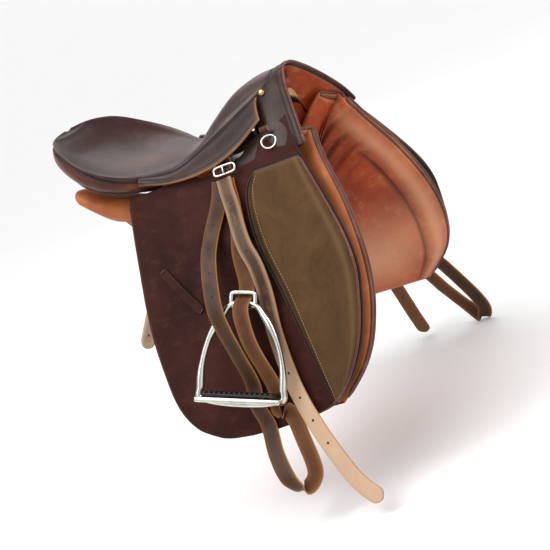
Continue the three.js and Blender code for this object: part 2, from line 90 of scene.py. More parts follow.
# ---- Curves and surfaces ----
def through(stations):
    """A smooth single-valued curve through a few (t, value) stations."""
    ts = [s[0] for s in stations]
    ys = [s[1] for s in stations]
    last = len(ts) - 1
    slope = []
    for i in range(last + 1):
        a, b = max(0, i - 1), min(last, i + 1)
        slope.append((ys[b] - ys[a]) / (ts[b] - ts[a]))

    def value(t):
        c = min(max(t, ts[0]), ts[last])
        i = 0
        while i < last - 1 and c > ts[i + 1]:
            i += 1
        h = ts[i + 1] - ts[i]
        k = (c - ts[i]) / h
        rise = ys[i] * (1 - k) ** 2 * (1 + 2 * k) + ys[i + 1] * k * k * (3 - 2 * k)
        return rise + h * (slope[i] * k * (1 - k) ** 2 - slope[i + 1] * k * k * (1 - k))

    return value


def mix(a, b, t):
    return a + (b - a) * t


def smooth(t, low, high):
    k = min(max((t - low) / (high - low), 0), 1)
    return k * k * (3 - 2 * k)


def hump(t, middle, width):
    return math.exp(-((t - middle) / width) ** 2)


def side_y(x, z):
    return 125 + 0.5 * (85 - z) - 0.00018 * (85 - z) ** 2 - 0.002 * max(0, z - 92) * max(0, x - 100)


def on_side(x, z, off):
    rise = 0.5 - 0.00036 * (85 - z)
    length = math.hypot(1, rise)
    return np.array([x, side_y(x, z) + off / length, z + off * rise / length])


def around(count):
    return np.linspace(0, 2 * math.pi, count, endpoint=False)


EAST, NORTH = np.array([1, 0, 0]), np.array([0, 1, 0])


def circle(centre, radius, s, t, count):
    return [centre + radius * (math.cos(a) * s + math.sin(a) * t) for a in around(count)]


def squared(c, power):
    """A sine or cosine pushed outward, so a circle becomes a rounded square."""
    return math.copysign(abs(c) ** power, c)


def unit(v):
    v = np.asarray(v, float)
    return v / (np.linalg.norm(v) or 1)


def catmull(points, count, closed=False):
    """Evenly spaced points on the centripetal curve through the given points."""
    p = [np.asarray(q, float) for q in points]
    n = len(p)
    ends = n if closed else n - 1
    fine = []
    for i in range(ends):
        p1, p2 = p[i], p[(i + 1) % n]
        p0 = p[i - 1] if closed or i > 0 else 2 * p1 - p2
        p3 = p[(i + 2) % n] if closed or i + 2 < n else 2 * p2 - p1
        d0, d1, d2 = [max(np.linalg.norm(b - a) ** 0.5, 1e-4) for a, b in ((p0, p1), (p1, p2), (p2, p3))]
        m1 = ((p1 - p0) / d0 - (p2 - p0) / (d0 + d1) + (p2 - p1) / d1) * d1
        m2 = ((p2 - p1) / d1 - (p3 - p1) / (d1 + d2) + (p3 - p2) / d2) * d1
        for s in np.linspace(0, 1, 24, endpoint=False):
            fine.append(p1 * (2 * s**3 - 3 * s * s + 1) + m1 * (s**3 - 2 * s * s + s)
                        + p2 * (3 * s * s - 2 * s**3) + m2 * (s**3 - s * s))
    fine.append(p[0] if closed else p[-1])
    fine = np.array(fine)
    run = np.concatenate([[0], np.cumsum(np.linalg.norm(np.diff(fine, axis=0), axis=1))])
    at = np.linspace(0, run[-1], count, endpoint=not closed)
    return np.stack([np.interp(at, run, fine[:, k]) for k in range(3)], axis=1)


def tangents(points, closed=False):
    if closed:
        step = np.roll(points, -1, axis=0) - np.roll(points, 1, axis=0)
    else:
        step = np.gradient(points, axis=0)
    return step / np.maximum(np.linalg.norm(step, axis=1, keepdims=True), 1e-9)


# ---- Materials ----
def linear(rgb):
    out = []
    for c in rgb:
        s = c / 255
        out.append(s / 12.92 if s <= 0.04045 else ((s + 0.055) / 1.055) ** 2.4)
    return (*out, 1.0)


class Shader:
    """A small helper that adds nodes to one Principled material. Keywords are socket names, _ for a space."""

    def __init__(self, name, **sockets):
        self.mat = bpy.data.materials.new(name)
        self.mat.use_nodes = True
        self.nodes = self.mat.node_tree.nodes
        self.links = self.mat.node_tree.links
        self.bsdf = self.nodes["Principled BSDF"]
        for socket, value in sockets.items():
            self.feed(self.bsdf.inputs[socket.replace("_", " ")], value)
        self.coords = self.node("TexCoord").outputs["Object"]

    def feed(self, socket, value):
        if isinstance(value, bpy.types.NodeSocket):
            self.links.new(value, socket)
        else:
            socket.default_value = value

    def node(self, kind, **inputs):
        node = self.nodes.new("ShaderNode" + kind)
        for name, value in inputs.items():
            self.feed(node.inputs[name.replace("_", " ")], value)
        return node

    def noise(self, scale, detail=4.0, roughness=0.6, stretch=None, distortion=0.0):
        return self.node("TexNoise", Vector=self.stretched(stretch), Scale=scale, Detail=detail,
                         Roughness=roughness, Distortion=distortion).outputs["Fac"]

    def cells(self, scale, stretch=None):
        return self.node("TexVoronoi", Vector=self.stretched(stretch), Scale=scale).outputs["Distance"]

    def stretched(self, stretch):
        if stretch is None:
            return self.coords
        return self.node("Mapping", Vector=self.coords, Scale=stretch).outputs["Vector"]

    def attribute(self, name):
        node = self.node("Attribute")
        node.attribute_name = name
        return node.outputs["Fac"]

    def ramp(self, factor, low, high):
        return self.node("MapRange", Value=factor, From_Min=low, From_Max=high).outputs["Result"]

    def blend(self, factor, a, b):
        node = self.nodes.new("ShaderNodeMix")
        node.data_type = "RGBA"
        self.links.new(factor, node.inputs["Factor"])
        for key, value in (("A", a), ("B", b)):
            self.feed(next(s for s in node.inputs if s.name == key and s.type == "RGBA"), value)
        return next(s for s in node.outputs if s.type == "RGBA")

    def share(self, factor, amount):
        """The factor times a constant."""
        node = self.node("Math")
        node.operation = "MULTIPLY"
        self.links.new(factor, node.inputs[0])
        node.inputs[1].default_value = amount
        return node.outputs[0]

    def colour(self, socket):
        self.links.new(socket, self.bsdf.inputs["Base Color"])

    def rough(self, factor, low, high):
        mapped = self.node("MapRange", Value=factor, To_Min=low, To_Max=high)
        self.links.new(mapped.outputs["Result"], self.bsdf.inputs["Roughness"])

    def bump(self, heights):
        """Stacks bumps, each (height, strength, distance in metres)."""
        normal = None
        for height, strength, distance in heights:
            node = self.node("Bump", Height=height, Strength=strength, Distance=distance)
            if normal is not None:
                self.links.new(normal, node.inputs["Normal"])
            normal = node.outputs["Normal"]
        self.links.new(normal, self.bsdf.inputs["Normal"])


def deeper(colour, share):
    return linear(tuple(c * share for c in colour))


def leather(name, base, dark, light, gloss, grain=850, grain_depth=0.35, coat=0.0, stretch=None, shine=0.2):
    """Grained leather: mottled colour, darker crease lines and painted shade, paler rubbed edges and painted
    highlights, and a pebbled surface.
    """
    s = Shader(name, Coat_Weight=coat, Coat_Roughness=0.28, Specular_IOR_Level=shine)
    patches = s.ramp(s.noise(9, 5, 0.62), 0.34, 0.68)
    body = s.blend(patches, linear(dark), linear(base))
    rub = s.ramp(s.noise(38, 6, 0.7, stretch), 0.52, 0.82)
    body = s.blend(s.share(rub, 0.35), body, linear(light))
    specks = s.ramp(s.noise(420, 3, 0.7), 0.6, 0.8)
    body = s.blend(s.share(specks, 0.25), body, linear(dark))
    # Darker where the mesh marks crease lines and painted shade.
    body = s.blend(s.attribute("crease_and_shade"), body, deeper(dark, 0.42))
    # Paler where the mesh marks rubbed edges and painted highlights.
    body = s.blend(s.attribute("wear_and_highlight"), body, linear(light))
    s.colour(body)
    s.rough(patches, gloss + 0.12, gloss)
    pebbles = s.cells(grain, stretch)
    wrinkle = s.noise(95, 6, 0.65, stretch, 0.6)
    s.bump([(wrinkle, 0.3, 0.0012), (pebbles, grain_depth, 0.0005), (s.noise(2600, 2), 0.12, 0.0002)])
    return s.mat


def suede(name, base, dark, light):
    s = Shader(name, Roughness=0.96, Sheen_Weight=0.12, Sheen_Roughness=0.5, Sheen_Tint=linear(light),
               Specular_IOR_Level=0.1)
    brushed = s.ramp(s.noise(11, 6, 0.7, (1, 1.4, 0.8), 0.8), 0.36, 0.66)
    nap = s.noise(1500, 3, 0.75)
    body = s.blend(brushed, linear(dark), linear(base))
    body = s.blend(s.share(s.ramp(nap, 0.4, 0.72), 0.45), body, linear(light))
    scuffs = s.ramp(s.noise(46, 7, 0.75, (1, 1, 0.35)), 0.58, 0.72)
    body = s.blend(s.share(scuffs, 0.4), body, linear(dark))
    body = s.blend(s.attribute("wear_and_highlight"), body, linear(light))
    body = s.blend(s.attribute("crease_and_shade"), body, deeper(dark, 0.45))
    s.colour(body)
    s.bump([(s.noise(60, 5, 0.6), 0.25, 0.0015), (nap, 0.45, 0.0004)])
    return s.mat


def metal(name, base, rough, tarnish, grain=(1, 1, 1)):
    s = Shader(name, Metallic=1.0)
    spots = s.ramp(s.noise(34, 6, 0.7), 0.5, 0.78)
    s.colour(s.blend(s.share(spots, 0.6), linear(base), linear(tarnish)))
    scratches = s.noise(240, 5, 0.7, grain)
    s.rough(scratches, rough, rough + 0.22)
    s.bump([(scratches, 0.08, 0.0003), (s.noise(30, 3), 0.12, 0.0008)])
    return s.mat


def thread(name, colour):
    s = Shader(name, Roughness=0.7)
    s.colour(s.blend(s.noise(900), linear(colour), deeper(colour, 0.6)))
    s.bump([(s.noise(2500), 0.4, 0.0003)])
    return s.mat


def rubber(name):
    s = Shader(name)
    dust = s.ramp(s.noise(70, 6, 0.7), 0.5, 0.8)
    s.colour(s.blend(s.share(dust, 0.5), linear((20, 20, 21)), linear((66, 62, 58))))
    s.rough(dust, 0.55, 0.85)
    s.bump([(s.noise(700, 4), 0.3, 0.0004)])
    return s.mat


def cloth(name, base, dark, scale):
    s = Shader(name, Roughness=0.9, Sheen_Weight=0.2)
    weave = s.node("TexWave", Scale=scale, Vector=s.coords).outputs["Fac"]
    s.colour(s.blend(weave, linear(base), linear(dark)))
    s.bump([(weave, 0.4, 0.0004)])
    return s.mat


def timber(name):
    s = Shader(name, Roughness=0.4, Coat_Weight=0.3)
    rings = s.noise(30, 6, 0.7, (0.3, 4, 4), 1.5)
    s.colour(s.blend(rings, linear((204, 168, 120)), linear((142, 100, 60))))
    s.bump([(rings, 0.2, 0.0004)])
    return s.mat


def wall_paint(name, colour):
    s = Shader(name, Roughness=0.9)
    s.colour(s.blend(s.noise(3), linear(colour), deeper(colour, 0.985)))
    return s.mat


# name, base, dark, light, roughness, grain, grain depth, coat, stretch, shine
HIDES = {
    "seat": ("oxblood_seat", (66, 30, 25), (38, 18, 16), (128, 84, 70), 0.27, 1000, 0.28, 0.22, None, 0.32),
    "roll": ("oxblood_roll", (98, 46, 32), (58, 25, 18), (158, 96, 64), 0.26, 900, 0.25, 0.22, None, 0.2),
    "skirt": ("skirt_hide", (58, 36, 31), (36, 22, 20), (112, 84, 70), 0.32, 950, 0.28, 0.12, None, 0.22),
    "flap": ("flap_hide", (64, 27, 20), (40, 16, 12), (106, 62, 46), 0.46, 560, 0.8, 0.0, (1, 1, 1.9), 0.1),
    # The panel's light colour is also its painted highlight colour, and its dark colour the base of its
    # painted shade.
    "panel": ("panel_hide", (176, 82, 38), (126, 38, 16), (232, 176, 138), 0.38, 760, 0.3, 0.06, None, 0.15),
    "gusset": ("gusset_hide", (186, 110, 62), (134, 66, 38), (214, 158, 110), 0.42, 800, 0.3, 0.08),
    "sweat": ("sweat_hide", (104, 58, 46), (66, 33, 28), (170, 122, 98), 0.38, 800, 0.35, 0.1),
    "piping": ("piping_hide", (112, 68, 54), (70, 38, 31), (180, 136, 112), 0.34, 1100, 0.2, 0.2),
    "dark_edge": ("dark_welt", (46, 24, 20), (30, 16, 14), (92, 58, 46), 0.38, 1100, 0.2, 0.15),
    "cut_edge": ("cut_edge", (142, 92, 52), (104, 62, 34), (190, 140, 88), 0.6, 1400, 0.5),
    "strap": ("strap_grain", (64, 36, 20), (40, 23, 13), (122, 80, 46), 0.40, 1100, 0.35, 0.08, (1, 1, 0.6)),
    "tail": ("tail_grain", (78, 45, 27), (50, 29, 18), (206, 172, 142), 0.46, 1100, 0.35, 0.04, (1, 1, 0.6)),
    "flesh": ("strap_flesh", (98, 58, 32), (68, 39, 22), (146, 100, 62), 0.6, 1500, 0.5),
    "girth": ("girth_hide", (158, 134, 112), (120, 96, 76), (196, 176, 152), 0.55, 1100, 0.4),
}
M = {key: leather(*row) for key, row in HIDES.items()}
M.update({
    "suede": suede("knee_suede", (86, 61, 39), (58, 40, 25), (116, 90, 62)),
    # The flap backs get the knee suede in a darker grey-green: the suede in painted shade.
    "back_suede_in_shade": suede("flap_back_suede_painted_shade", (60, 62, 56), (40, 40, 37), (88, 88, 80)),
    "nickel": metal("bright_nickel", (214, 212, 206), 0.12, (150, 142, 130)),
    "bar": metal("forged_bar", (150, 150, 152), 0.32, (92, 84, 76), (1, 6, 6)),
    "black_steel": metal("japanned_steel", (44, 44, 48), 0.35, (26, 24, 24)),
    "brass": metal("stud_brass", (196, 170, 112), 0.2, (122, 96, 60)),
    "thread": thread("waxed_thread", (188, 156, 112)),
    "dark_thread": thread("dark_thread", (46, 30, 24)),
    # Near black, the painted shade inside a punched hole.
    "hole_shade": thread("punched_hole_shade", (22, 14, 11)),
    "rubber": rubber("tread_rubber_black"),
    "foam": cloth("seat_foam_cells", (226, 216, 184), (196, 182, 148), 900),
    "web": cloth("linen_web", (212, 204, 186), (176, 166, 146), 700),
    "wood": timber("beech_laminate"),
})
SIDES = (("left", 1), ("right", -1))


# ---- Meshes ----
def mesh_object(name, verts, faces, mats, face_mats=None, side=1, attributes=None):
    """Makes one smooth-shaded object from points in millimetres, with its faces turned outward."""
    verts = np.asarray(verts, float) * MM
    if side < 0:
        verts = verts * np.array([1, -1, 1])
    data = bpy.data.meshes.new(name)
    data.from_pydata([tuple(v) for v in verts], [], [tuple(f) for f in faces])
    for mat in mats:
        data.materials.append(M[mat])
    for key, values in (attributes or {}).items():
        layer = data.attributes.new(key, "FLOAT", "POINT")
        layer.data.foreach_set("value", np.asarray(values, np.float32))
    data.polygons.foreach_set("use_smooth", [True] * len(data.polygons))
    if face_mats is not None:
        data.polygons.foreach_set("material_index", face_mats)
    bm = bmesh.new()
    bm.from_mesh(data)
    bmesh.ops.recalc_face_normals(bm, faces=bm.faces)
    bm.to_mesh(data)
    bm.free()
    obj = bpy.data.objects.new(name, data)
    bpy.context.scene.collection.objects.link(obj)
    return obj


def shell(name, nu, nv, place, mats, side=1, inset=(0.008, 0.008), wear_and_highlight=None):
    """A closed sheet: place(u, v, w) gives its points, w from -0.5 to 0.5, with a rounded rim.

    mats are for its outer face, rim and inner face, or one for all; the last argument, a function of (u, v),
    gives two
    marks of the outer face: how much paler, for rubbed edges and painted highlights, and how much darker, for
    crease lines and painted shade."""
    mats = [mats] * 3 if isinstance(mats, str) else mats
    us, vs = [np.concatenate([[e], np.linspace(e * 2.5, 1 - e * 2.5, count - 1), [1 - e]])
              for e, count in zip(inset, (nu, nv))]
    verts, worn_and_lit, creases_and_shade = [], [], []

    def add(u, v, w, shade):
        verts.append(place(u, v, w))
        mark = wear_and_highlight(u, v) if wear_and_highlight and shade else (0, 0)
        worn_and_lit.append(mark[0])
        creases_and_shade.append(mark[1])

    grids = []
    for w in (0.5, -0.5):
        grids.append(len(verts))
        for v in vs:
            for u in us:
                add(u, v, w, w > 0)
    n, m = len(us), len(vs)
    ring = [(i, 0) for i in range(n)] + [(n - 1, j) for j in range(1, m)]
    ring += [(i, m - 1) for i in range(n - 2, -1, -1)] + [(0, j) for j in range(m - 2, 0, -1)]
    loops = []
    for w, grow in ((0.5, None), (0.3, 0.25), (0, 0), (-0.3, 0.25), (-0.5, None)):
        if grow is None:
            first = grids[0] if w > 0 else grids[1]
            loops.append([first + j * n + i for i, j in ring])
            continue
        loop = []
        for i, j in ring:
            u = us[i] if 0 < i < n - 1 else (inset[0] * grow if i == 0 else 1 - inset[0] * grow)
            v = vs[j] if 0 < j < m - 1 else (inset[1] * grow if j == 0 else 1 - inset[1] * grow)
            loop.append(len(verts))
            add(u, v, w, False)
        loops.append(loop)
    faces, kinds = [], []
    for g, kind in ((grids[0], 0), (grids[1], 2)):
        for j in range(m - 1):
            for i in range(n - 1):
                a = g + j * n + i
                faces.append((a, a + 1, a + n + 1, a + n))
                kinds.append(kind)
    for a, b in zip(loops, loops[1:]):
        for i in range(len(ring)):
            k = (i + 1) % len(ring)
            faces.append((a[i], a[k], b[k], b[i]))
            kinds.append(1)
    return mesh_object(name, verts, faces, mats, kinds, side, {"wear_and_highlight": worn_and_lit, "crease_and_shade": creases_and_shade})


def sweep(sections, closed=False):
    """Vertices and faces of a tube through rings of points."""
    rings = len(sections)
    size = len(sections[0])
    verts = [p for s in sections for p in s]
    faces = []
    for i in range(rings if closed else rings - 1):
        for j in range(size):
            a, b = i * size + j, i * size + (j + 1) % size
            c, d = ((i + 1) % rings) * size + (j + 1) % size, ((i + 1) % rings) * size + j
            faces.append((a, b, c, d))
    if not closed:
        for end, flip in ((0, 1), (rings - 1, -1)):
            verts.append(np.mean(sections[end], axis=0))
            for j in range(size):
                a, b = end * size + j, end * size + (j + 1) % size
                faces.append((a, b, len(verts) - 1)[::flip])
    return verts, faces


def swept(name, sections, mat, side=1, closed=False):
    verts, faces = sweep(sections, closed)
    return mesh_object(name, verts, faces, [mat], None, side)


def tube(name, points, radius, mat, side=1, sides=10, closed=False, normal=(0, 0, 1)):
    """A round cord or rod along points, given as an even run of places."""
    points = np.asarray(points, float)
    run = tangents(points, closed)
    size = radius if callable(radius) else (lambda t: radius)
    sections = []
    for i, (p, t) in enumerate(zip(points, run)):
        b = unit(np.cross(t, normal))
        n = np.cross(b, t)
        r = size(i / max(1, len(points) - 1))
        if not closed:
            r *= min(1, 0.45 + 0.55 * min(i, len(points) - 1 - i) / 2)
        sections.append(circle(p, r, b, n, sides))
    return swept(name, sections, mat, side, closed)


def belt(name, points, across, width, thick, mats, side=1, steps=220, hang=None, tip=12.0, faded=0.0):
    """A flat strap: mats are for its two faces (down-run outer, other) and its cut edges.

    faded is how far its lower half is rubbed to the light colour."""
    path = catmull(points, steps)
    run = tangents(path)
    length = np.sum(np.linalg.norm(np.diff(path, axis=0), axis=1))
    half, deep = width / 2, thick / 2
    profile = [(-half + 0.8, -deep), (-half * 0.4, -deep * 1.08), (half * 0.4, -deep * 1.08),
               (half - 0.8, -deep), (half - 0.1, -deep * 0.6), (half, 0), (half - 0.1, deep * 0.6),
               (half - 0.8, deep), (half * 0.4, deep * 1.08), (-half * 0.4, deep * 1.08),
               (-half + 0.8, deep), (-half + 0.1, deep * 0.6), (-half, 0), (-half + 0.1, -deep * 0.6)]
    face_kind = [0, 0, 0, 2, 2, 2, 2, 1, 1, 1, 2, 2, 2, 2]
    sections, wear_and_highlight = [], []
    for i, (p, t) in enumerate(zip(path, run)):
        s = unit(np.asarray(across, float) - t * np.dot(across, t))
        f = np.cross(t, s)
        at = length * i / (steps - 1)
        left = length - at
        k = math.sqrt(max(0.02, 1 - max(0, 1 - left / tip) ** 2)) if tip else 1
        ripple = 0.25 * math.sin(at * 0.11) * math.sin(at * 0.043 + 1)
        sections.append([p + s * a * k + f * (b + ripple) for a, b in profile])
        rub = 0.16 * (1 + math.sin(at * 0.07 + 2 * math.sin(at * 0.02)))
        pale = faded * smooth(at / length, 0.42, 0.68)
        wear_and_highlight += [max(pale, 0.5 if abs(a) > half * 0.9 else rub * 0.3) for a, b in profile]
    verts, faces = sweep(sections)
    sides = len(profile)
    kinds = [face_kind[i % sides] for i in range((steps - 1) * sides)] + [2] * (2 * sides)
    wear_and_highlight += [0, 0]
    if hang is not None:
        verts = [hang(v) for v in verts]
    return mesh_object(name, verts, faces, mats, kinds, side, {"wear_and_highlight": wear_and_highlight})


THREAD_RADIUS, THREAD_LIFT = 0.5, 0.1


def stitches(name, points, normals, mat, side=1, pitch=4.4, length=3.0):
    """A row of thread stitches along a line of surface points."""
    points = np.asarray(points, float)
    normals = np.asarray(normals, float)
    run = np.concatenate([[0], np.cumsum(np.linalg.norm(np.diff(points, axis=0), axis=1))])
    verts, faces = [], []
    for start in np.arange(pitch / 2, run[-1] - length, pitch):
        ring = []
        for t, r in ((0, 0.35), (0.3, 1), (0.7, 1), (1, 0.35)):
            at = start + length * t
            p = np.array([np.interp(at, run, points[:, k]) for k in range(3)])
            ahead = np.array([np.interp(at + 0.5, run, points[:, k]) for k in range(3)])
            n = unit([np.interp(at, run, normals[:, k]) for k in range(3)])
            s = unit(np.cross(unit(ahead - p), n))
            p = p + n * (THREAD_LIFT + THREAD_RADIUS * 0.35 * r)
            ring.append(circle(p, THREAD_RADIUS * r, s, n, 6))
        v, f = sweep(ring)
        base = len(verts)
        verts += v
        faces += [tuple(base + i for i in face) for face in f]
    return mesh_object(name, verts, faces, [mat], None, side)


HOLE_LIP = 0.15


def discs(name, spots, side, radius=2.0):
    """Punched holes: shallow dishes painted near black for the shade inside a hole, with a raised lip, at
    (point, normal) spots.
    """
    verts, faces = [], []
    for p, n in spots:
        n = unit(n)
        s = unit(np.cross(n, (0.3, 0.2, 1)))
        t = np.cross(n, s)
        base = len(verts)
        for r, h in ((radius, -0.1), (radius * 0.95, HOLE_LIP), (radius * 0.7, HOLE_LIP * 0.6)):
            verts += circle(p + n * h, r, s, t, 16)
        for k in range(2):
            for j in range(16):
                a, b = base + k * 16 + j, base + k * 16 + (j + 1) % 16
                faces.append((a, b, b + 16, a + 16))
        faces.append(tuple(base + 32 + j for j in range(16)))
        faces.append(tuple(base + 15 - j for j in range(16)))
    return mesh_object(name, verts, faces, ["hole_shade"], None, side)


def normal_at(place, u, v):
    e = 0.004
    du = np.asarray(place(min(1, u + e), v, 0.5)) - np.asarray(place(max(0, u - e), v, 0.5))
    dv = np.asarray(place(u, min(1, v + e), 0.5)) - np.asarray(place(u, max(0, v - e), 0.5))
    n = unit(np.cross(du, dv))
    out = np.asarray(place(u, v, 0.5)) - np.asarray(place(u, v, -0.5))
    return n if np.dot(n, out) > 0 else -n


def traced(place, track, count):
    """Points and normals of the outer face along track(t) = (u, v)."""
    points, normals = [], []
    for t in np.linspace(0, 1, count):
        u, v = track(t)
        points.append(place(u, v, 0.5))
        normals.append(normal_at(place, u, v))
    return np.array(points), np.array(normals)


def seam(name, place, track, count, mat, side, body, slot):
    """A row of stitches along track on the outer face of place."""
    points, normals = traced(place, track, count)
    put(stitches(name, points, normals, mat, side), body, slot)


def edging(name, place, u, w, count, radius, mat, side, body, slot):
    """A round welt down the edge of place at u."""
    line = [place(u, v, w) for v in np.linspace(0.99, 0.01, count)]
    put(tube(name, line, radius, mat, side), body, slot)


def put(obj, body, slot, *nodes):
    """A piece with body None rides on no body."""
    if body:
        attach(obj, body)
    if nodes:
        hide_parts(*nodes)


# ---- Seat ----
seat_half = through([(SEAT_REAR, 8), (-202, 42), (-192, 76), (-172, 104), (-140, 126), (-107, 133),
                     (-75, 124), (-45, 104), (0, 86), (60, 74), (120, 62), (165, 46), (180, 28),
                     (SEAT_FRONT, 8)])
seat_middle = through([(SEAT_REAR, 220), (-192, 204), (-172, 176), (-140, 150), (-107, 134), (-60, 122),
                       (-15, SEAT_HEIGHT), (17, 124), (63, 156), (101, 178), (134, 188), (157, 191),
                       (175, 190), (SEAT_FRONT, 186)])
seat_edge = through([(SEAT_REAR, 222), (-192, 216), (-172, 204), (-140, 178), (-107, 154), (-75, 134),
                     (-40, 118), (0, 113), (60, 132), (120, 155), (168, 174), (SEAT_FRONT, 182)])


def seat_top(x, s):
    return seat_middle(x) + (seat_edge(x) - seat_middle(x)) * abs(s) ** 2.4


def seat_place(u, v, w):
    x = (SEAT_REAR + SEAT_FRONT) / 2 - (SEAT_FRONT - SEAT_REAR) / 2 * math.cos(math.pi * u)
    s = math.sin((v - 0.5) * math.pi)
    rim = max(abs(s), smooth(-x, 170, 204), smooth(x, 160, 184))
    depth = 3 + 9 * smooth(rim, 0.86, 0.98)
    roll = 1.6 * hump(rim, 0.93, 0.05)
    return [x, s * max(4, seat_half(x)), seat_top(x, s) + roll - depth * (0.5 - w)]


# Paler along the middle of the twist and in the dish.
def seat_pale_patches(u, v):
    x, y, _ = seat_place(u, v, 0.5)
    ridge = 0.35 * hump(x, 120, 70) * hump(y, 0, 30)
    dish = 0.22 * hump(x, -60, 60) * hump(y, 0, 70)
    return (ridge + dish, 0)


def make_seat():
    seat = shell("seat", 110, 64, seat_place, "seat", inset=(0.012, 0.02), wear_and_highlight=seat_pale_patches)
    put(seat, "root", "seat_leather", "seat_cover")
    line, normals = [], []
    for t in np.linspace(-1, 1, 50):
        u, v = 0.90 - 0.025 * (1 - abs(t)), 0.5 + 0.36 * t
        line.append(seat_place(u, v, 0.5))
        normals.append(normal_at(seat_place, u, v))
    put(stitches("pommel_seam_stitching", line, normals, "dark_thread"), "root", "seat_leather")
    line = np.array(line) + np.array([3, 0, -0.6])
    put(tube("pommel_seam", line, 1.1, "dark_edge"), "root", "seat_leather")


def rim_at(u):
    """Place on the seat's edge going round its rear from side to side."""
    turn = math.pi * (u - 0.5)
    x = SEAT_REAR + (ROLL_START - SEAT_REAR) * (1 - math.cos(turn))
    return x, math.copysign(seat_half(x) * min(1, abs(turn) * 7), turn)


def rim_line(z_drop, grow):
    points = []
    for u in np.linspace(0, 1, 150):
        x, y = rim_at(u)
        reach = 1 + grow / max(30, math.hypot(max(30, -0.6 * x), y or 1))
        points.append([x * reach if x < -120 else x, y * reach, seat_edge(x) - z_drop(x)])
    return np.array(points)


roll_depth = through([(SEAT_REAR, 46), (-160, 40), (-100, 24), (ROLL_START, 12)])


def roll_place(u, v, w):
    x, y = rim_at(u)
    drop = 1 - v
    bulge = 7 * math.sin(math.pi * drop) ** 0.7 - 7 * drop + 1
    reach = 1 + (bulge + w * 4 - 2) / math.hypot(max(30, x * -0.6), y or 1)
    return [x * reach if x < -120 else x, y * reach, seat_edge(x) - 7 - drop * roll_depth(x)]


def make_cantle():
    roll = shell("cantle_facing", 120, 16, roll_place, "roll", inset=(0.004, 0.03))
    put(roll, "root", "seat_leather", "cantle_roll")
    top = rim_line(lambda x: 9, 1.5)
    put(tube("seat_welt", top, 2.0, "dark_edge"), "root", "seat_leather")
    low = rim_line(lambda x: 7 + roll_depth(x), -5)
    put(tube("cantle_welt", low, 2.3, "dark_edge"), "root", "seat_leather")


# ---- Flap ----
flap_rear = through([(-265, 40), (-262, 5), (-255, -18), (-238, -48), (-205, -71), (-152, -83), (-86, -90),
                     (6, -87), (100, -82)])
flap_front = through([(-265, 84), (-262, 118), (-255, 168), (-247, 192), (-220, 222), (-172, 251),
                      (-105, 269), (-71, 270), (-38, 264), (3, 251), (64, 228), (110, 210)])
pad_rear = through([(-256, 190), (-243, 186), (-170, 166), (-90, 146), (-27, 127), (29, 123), (78, 133)])
head_top = through([(-82, 97), (40, 97), (54, 90), (146, 90), (160, 112), (215, 136)])
HEAD_SHARE = 0.12


def flap_place(u, v, w):
    if v > 1 - HEAD_SHARE:
        k = (v - 1 + HEAD_SHARE) / HEAD_SHARE
        x = mix(mix(flap_rear(FOLD_Z), -80, k), mix(flap_front(FOLD_Z), 206, k), u)
        z = mix(FOLD_Z, head_top(x), k)
    else:
        z = mix(FOLD_Z, -265, math.sin((1 - v / (1 - HEAD_SHARE)) * math.pi / 2))
        x = mix(flap_rear(z), flap_front(z), u)
    curl = 1.5 * math.sin(z * 0.021 + x * 0.013)
    return on_side(x, z, w * FLAP_THICK + curl * smooth(-z, 40, 200) * 0.5)


def flap_wear(u, v):
    edge = max(hump(u, 0, 0.012), hump(v, 0, 0.02))
    return (0.5 * edge, 0.5 * hump(u, 0.018, 0.006))


def make_flap(hand, side):
    # Its back face is the grey-green suede in painted shade.
    skin = shell(f"flap_skin_{hand}", 90, 100, flap_place, ["flap", "dark_edge", "back_suede_in_shade"], side,
                 (0.006, 0.006), flap_wear)
    body = f"flap_body_{hand}"
    put(skin, None, "flap_leather", f"flap_{hand}", f"flap_head_{hand}")
    start = on_side(0, FOLD_Z + 3, 0) * MM
    end = on_side(0, FOLD_Z - 12, 0) * MM
    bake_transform(skin)
    turn = 1 - HEAD_SHARE
    seam(f"flap_rear_stitching_{hand}", flap_place, lambda t: (0.035, turn - 0.02 - t * (turn - 0.06)), 200,
         "dark_thread", side, body, "flap_leather")
    seam(f"flap_hem_stitching_{hand}", flap_place, lambda t: (0.035 + 0.92 * t, 0.05), 160,
         "dark_thread", side, body, "flap_leather")


# ---- Knee pad ----
def pad_place(u, v, w):
    d = 1 - v
    z = mix(FOLD_Z - 8, -254, math.sin(d * math.pi / 2) * 0.5 + d * 0.5)
    corner = 10 * (1 - smooth(d, 0, 0.06)) * (1 - u) ** 2
    rear = pad_rear(z) + corner
    x = mix(rear, flap_front(z) - 3, u)
    rise = math.sin(math.pi * min(max(u, 0), 1)) ** 0.6
    rise *= smooth(d, -0.03, 0.12) * (1 - 0.8 * smooth(d, 0.78, 1.0))
    ridge = 2.5 * hump(u, 0.86, 0.06) * smooth(d, 0, 0.2) * (1 - smooth(d, 0.8, 0.95))
    swell = 2.6 + 8.5 * rise + ridge
    return on_side(x, z, FLAP_THICK / 2 + 0.5 + swell * (w + 0.5))


def pad_wear(u, v):
    ridge = 0.5 * hump(u, 0.9, 0.03) + 0.6 * hump(u, 1, 0.015) + 0.5 * hump(v, 1, 0.015)
    return (ridge, 0.7 * hump(u, 0.062, 0.02))


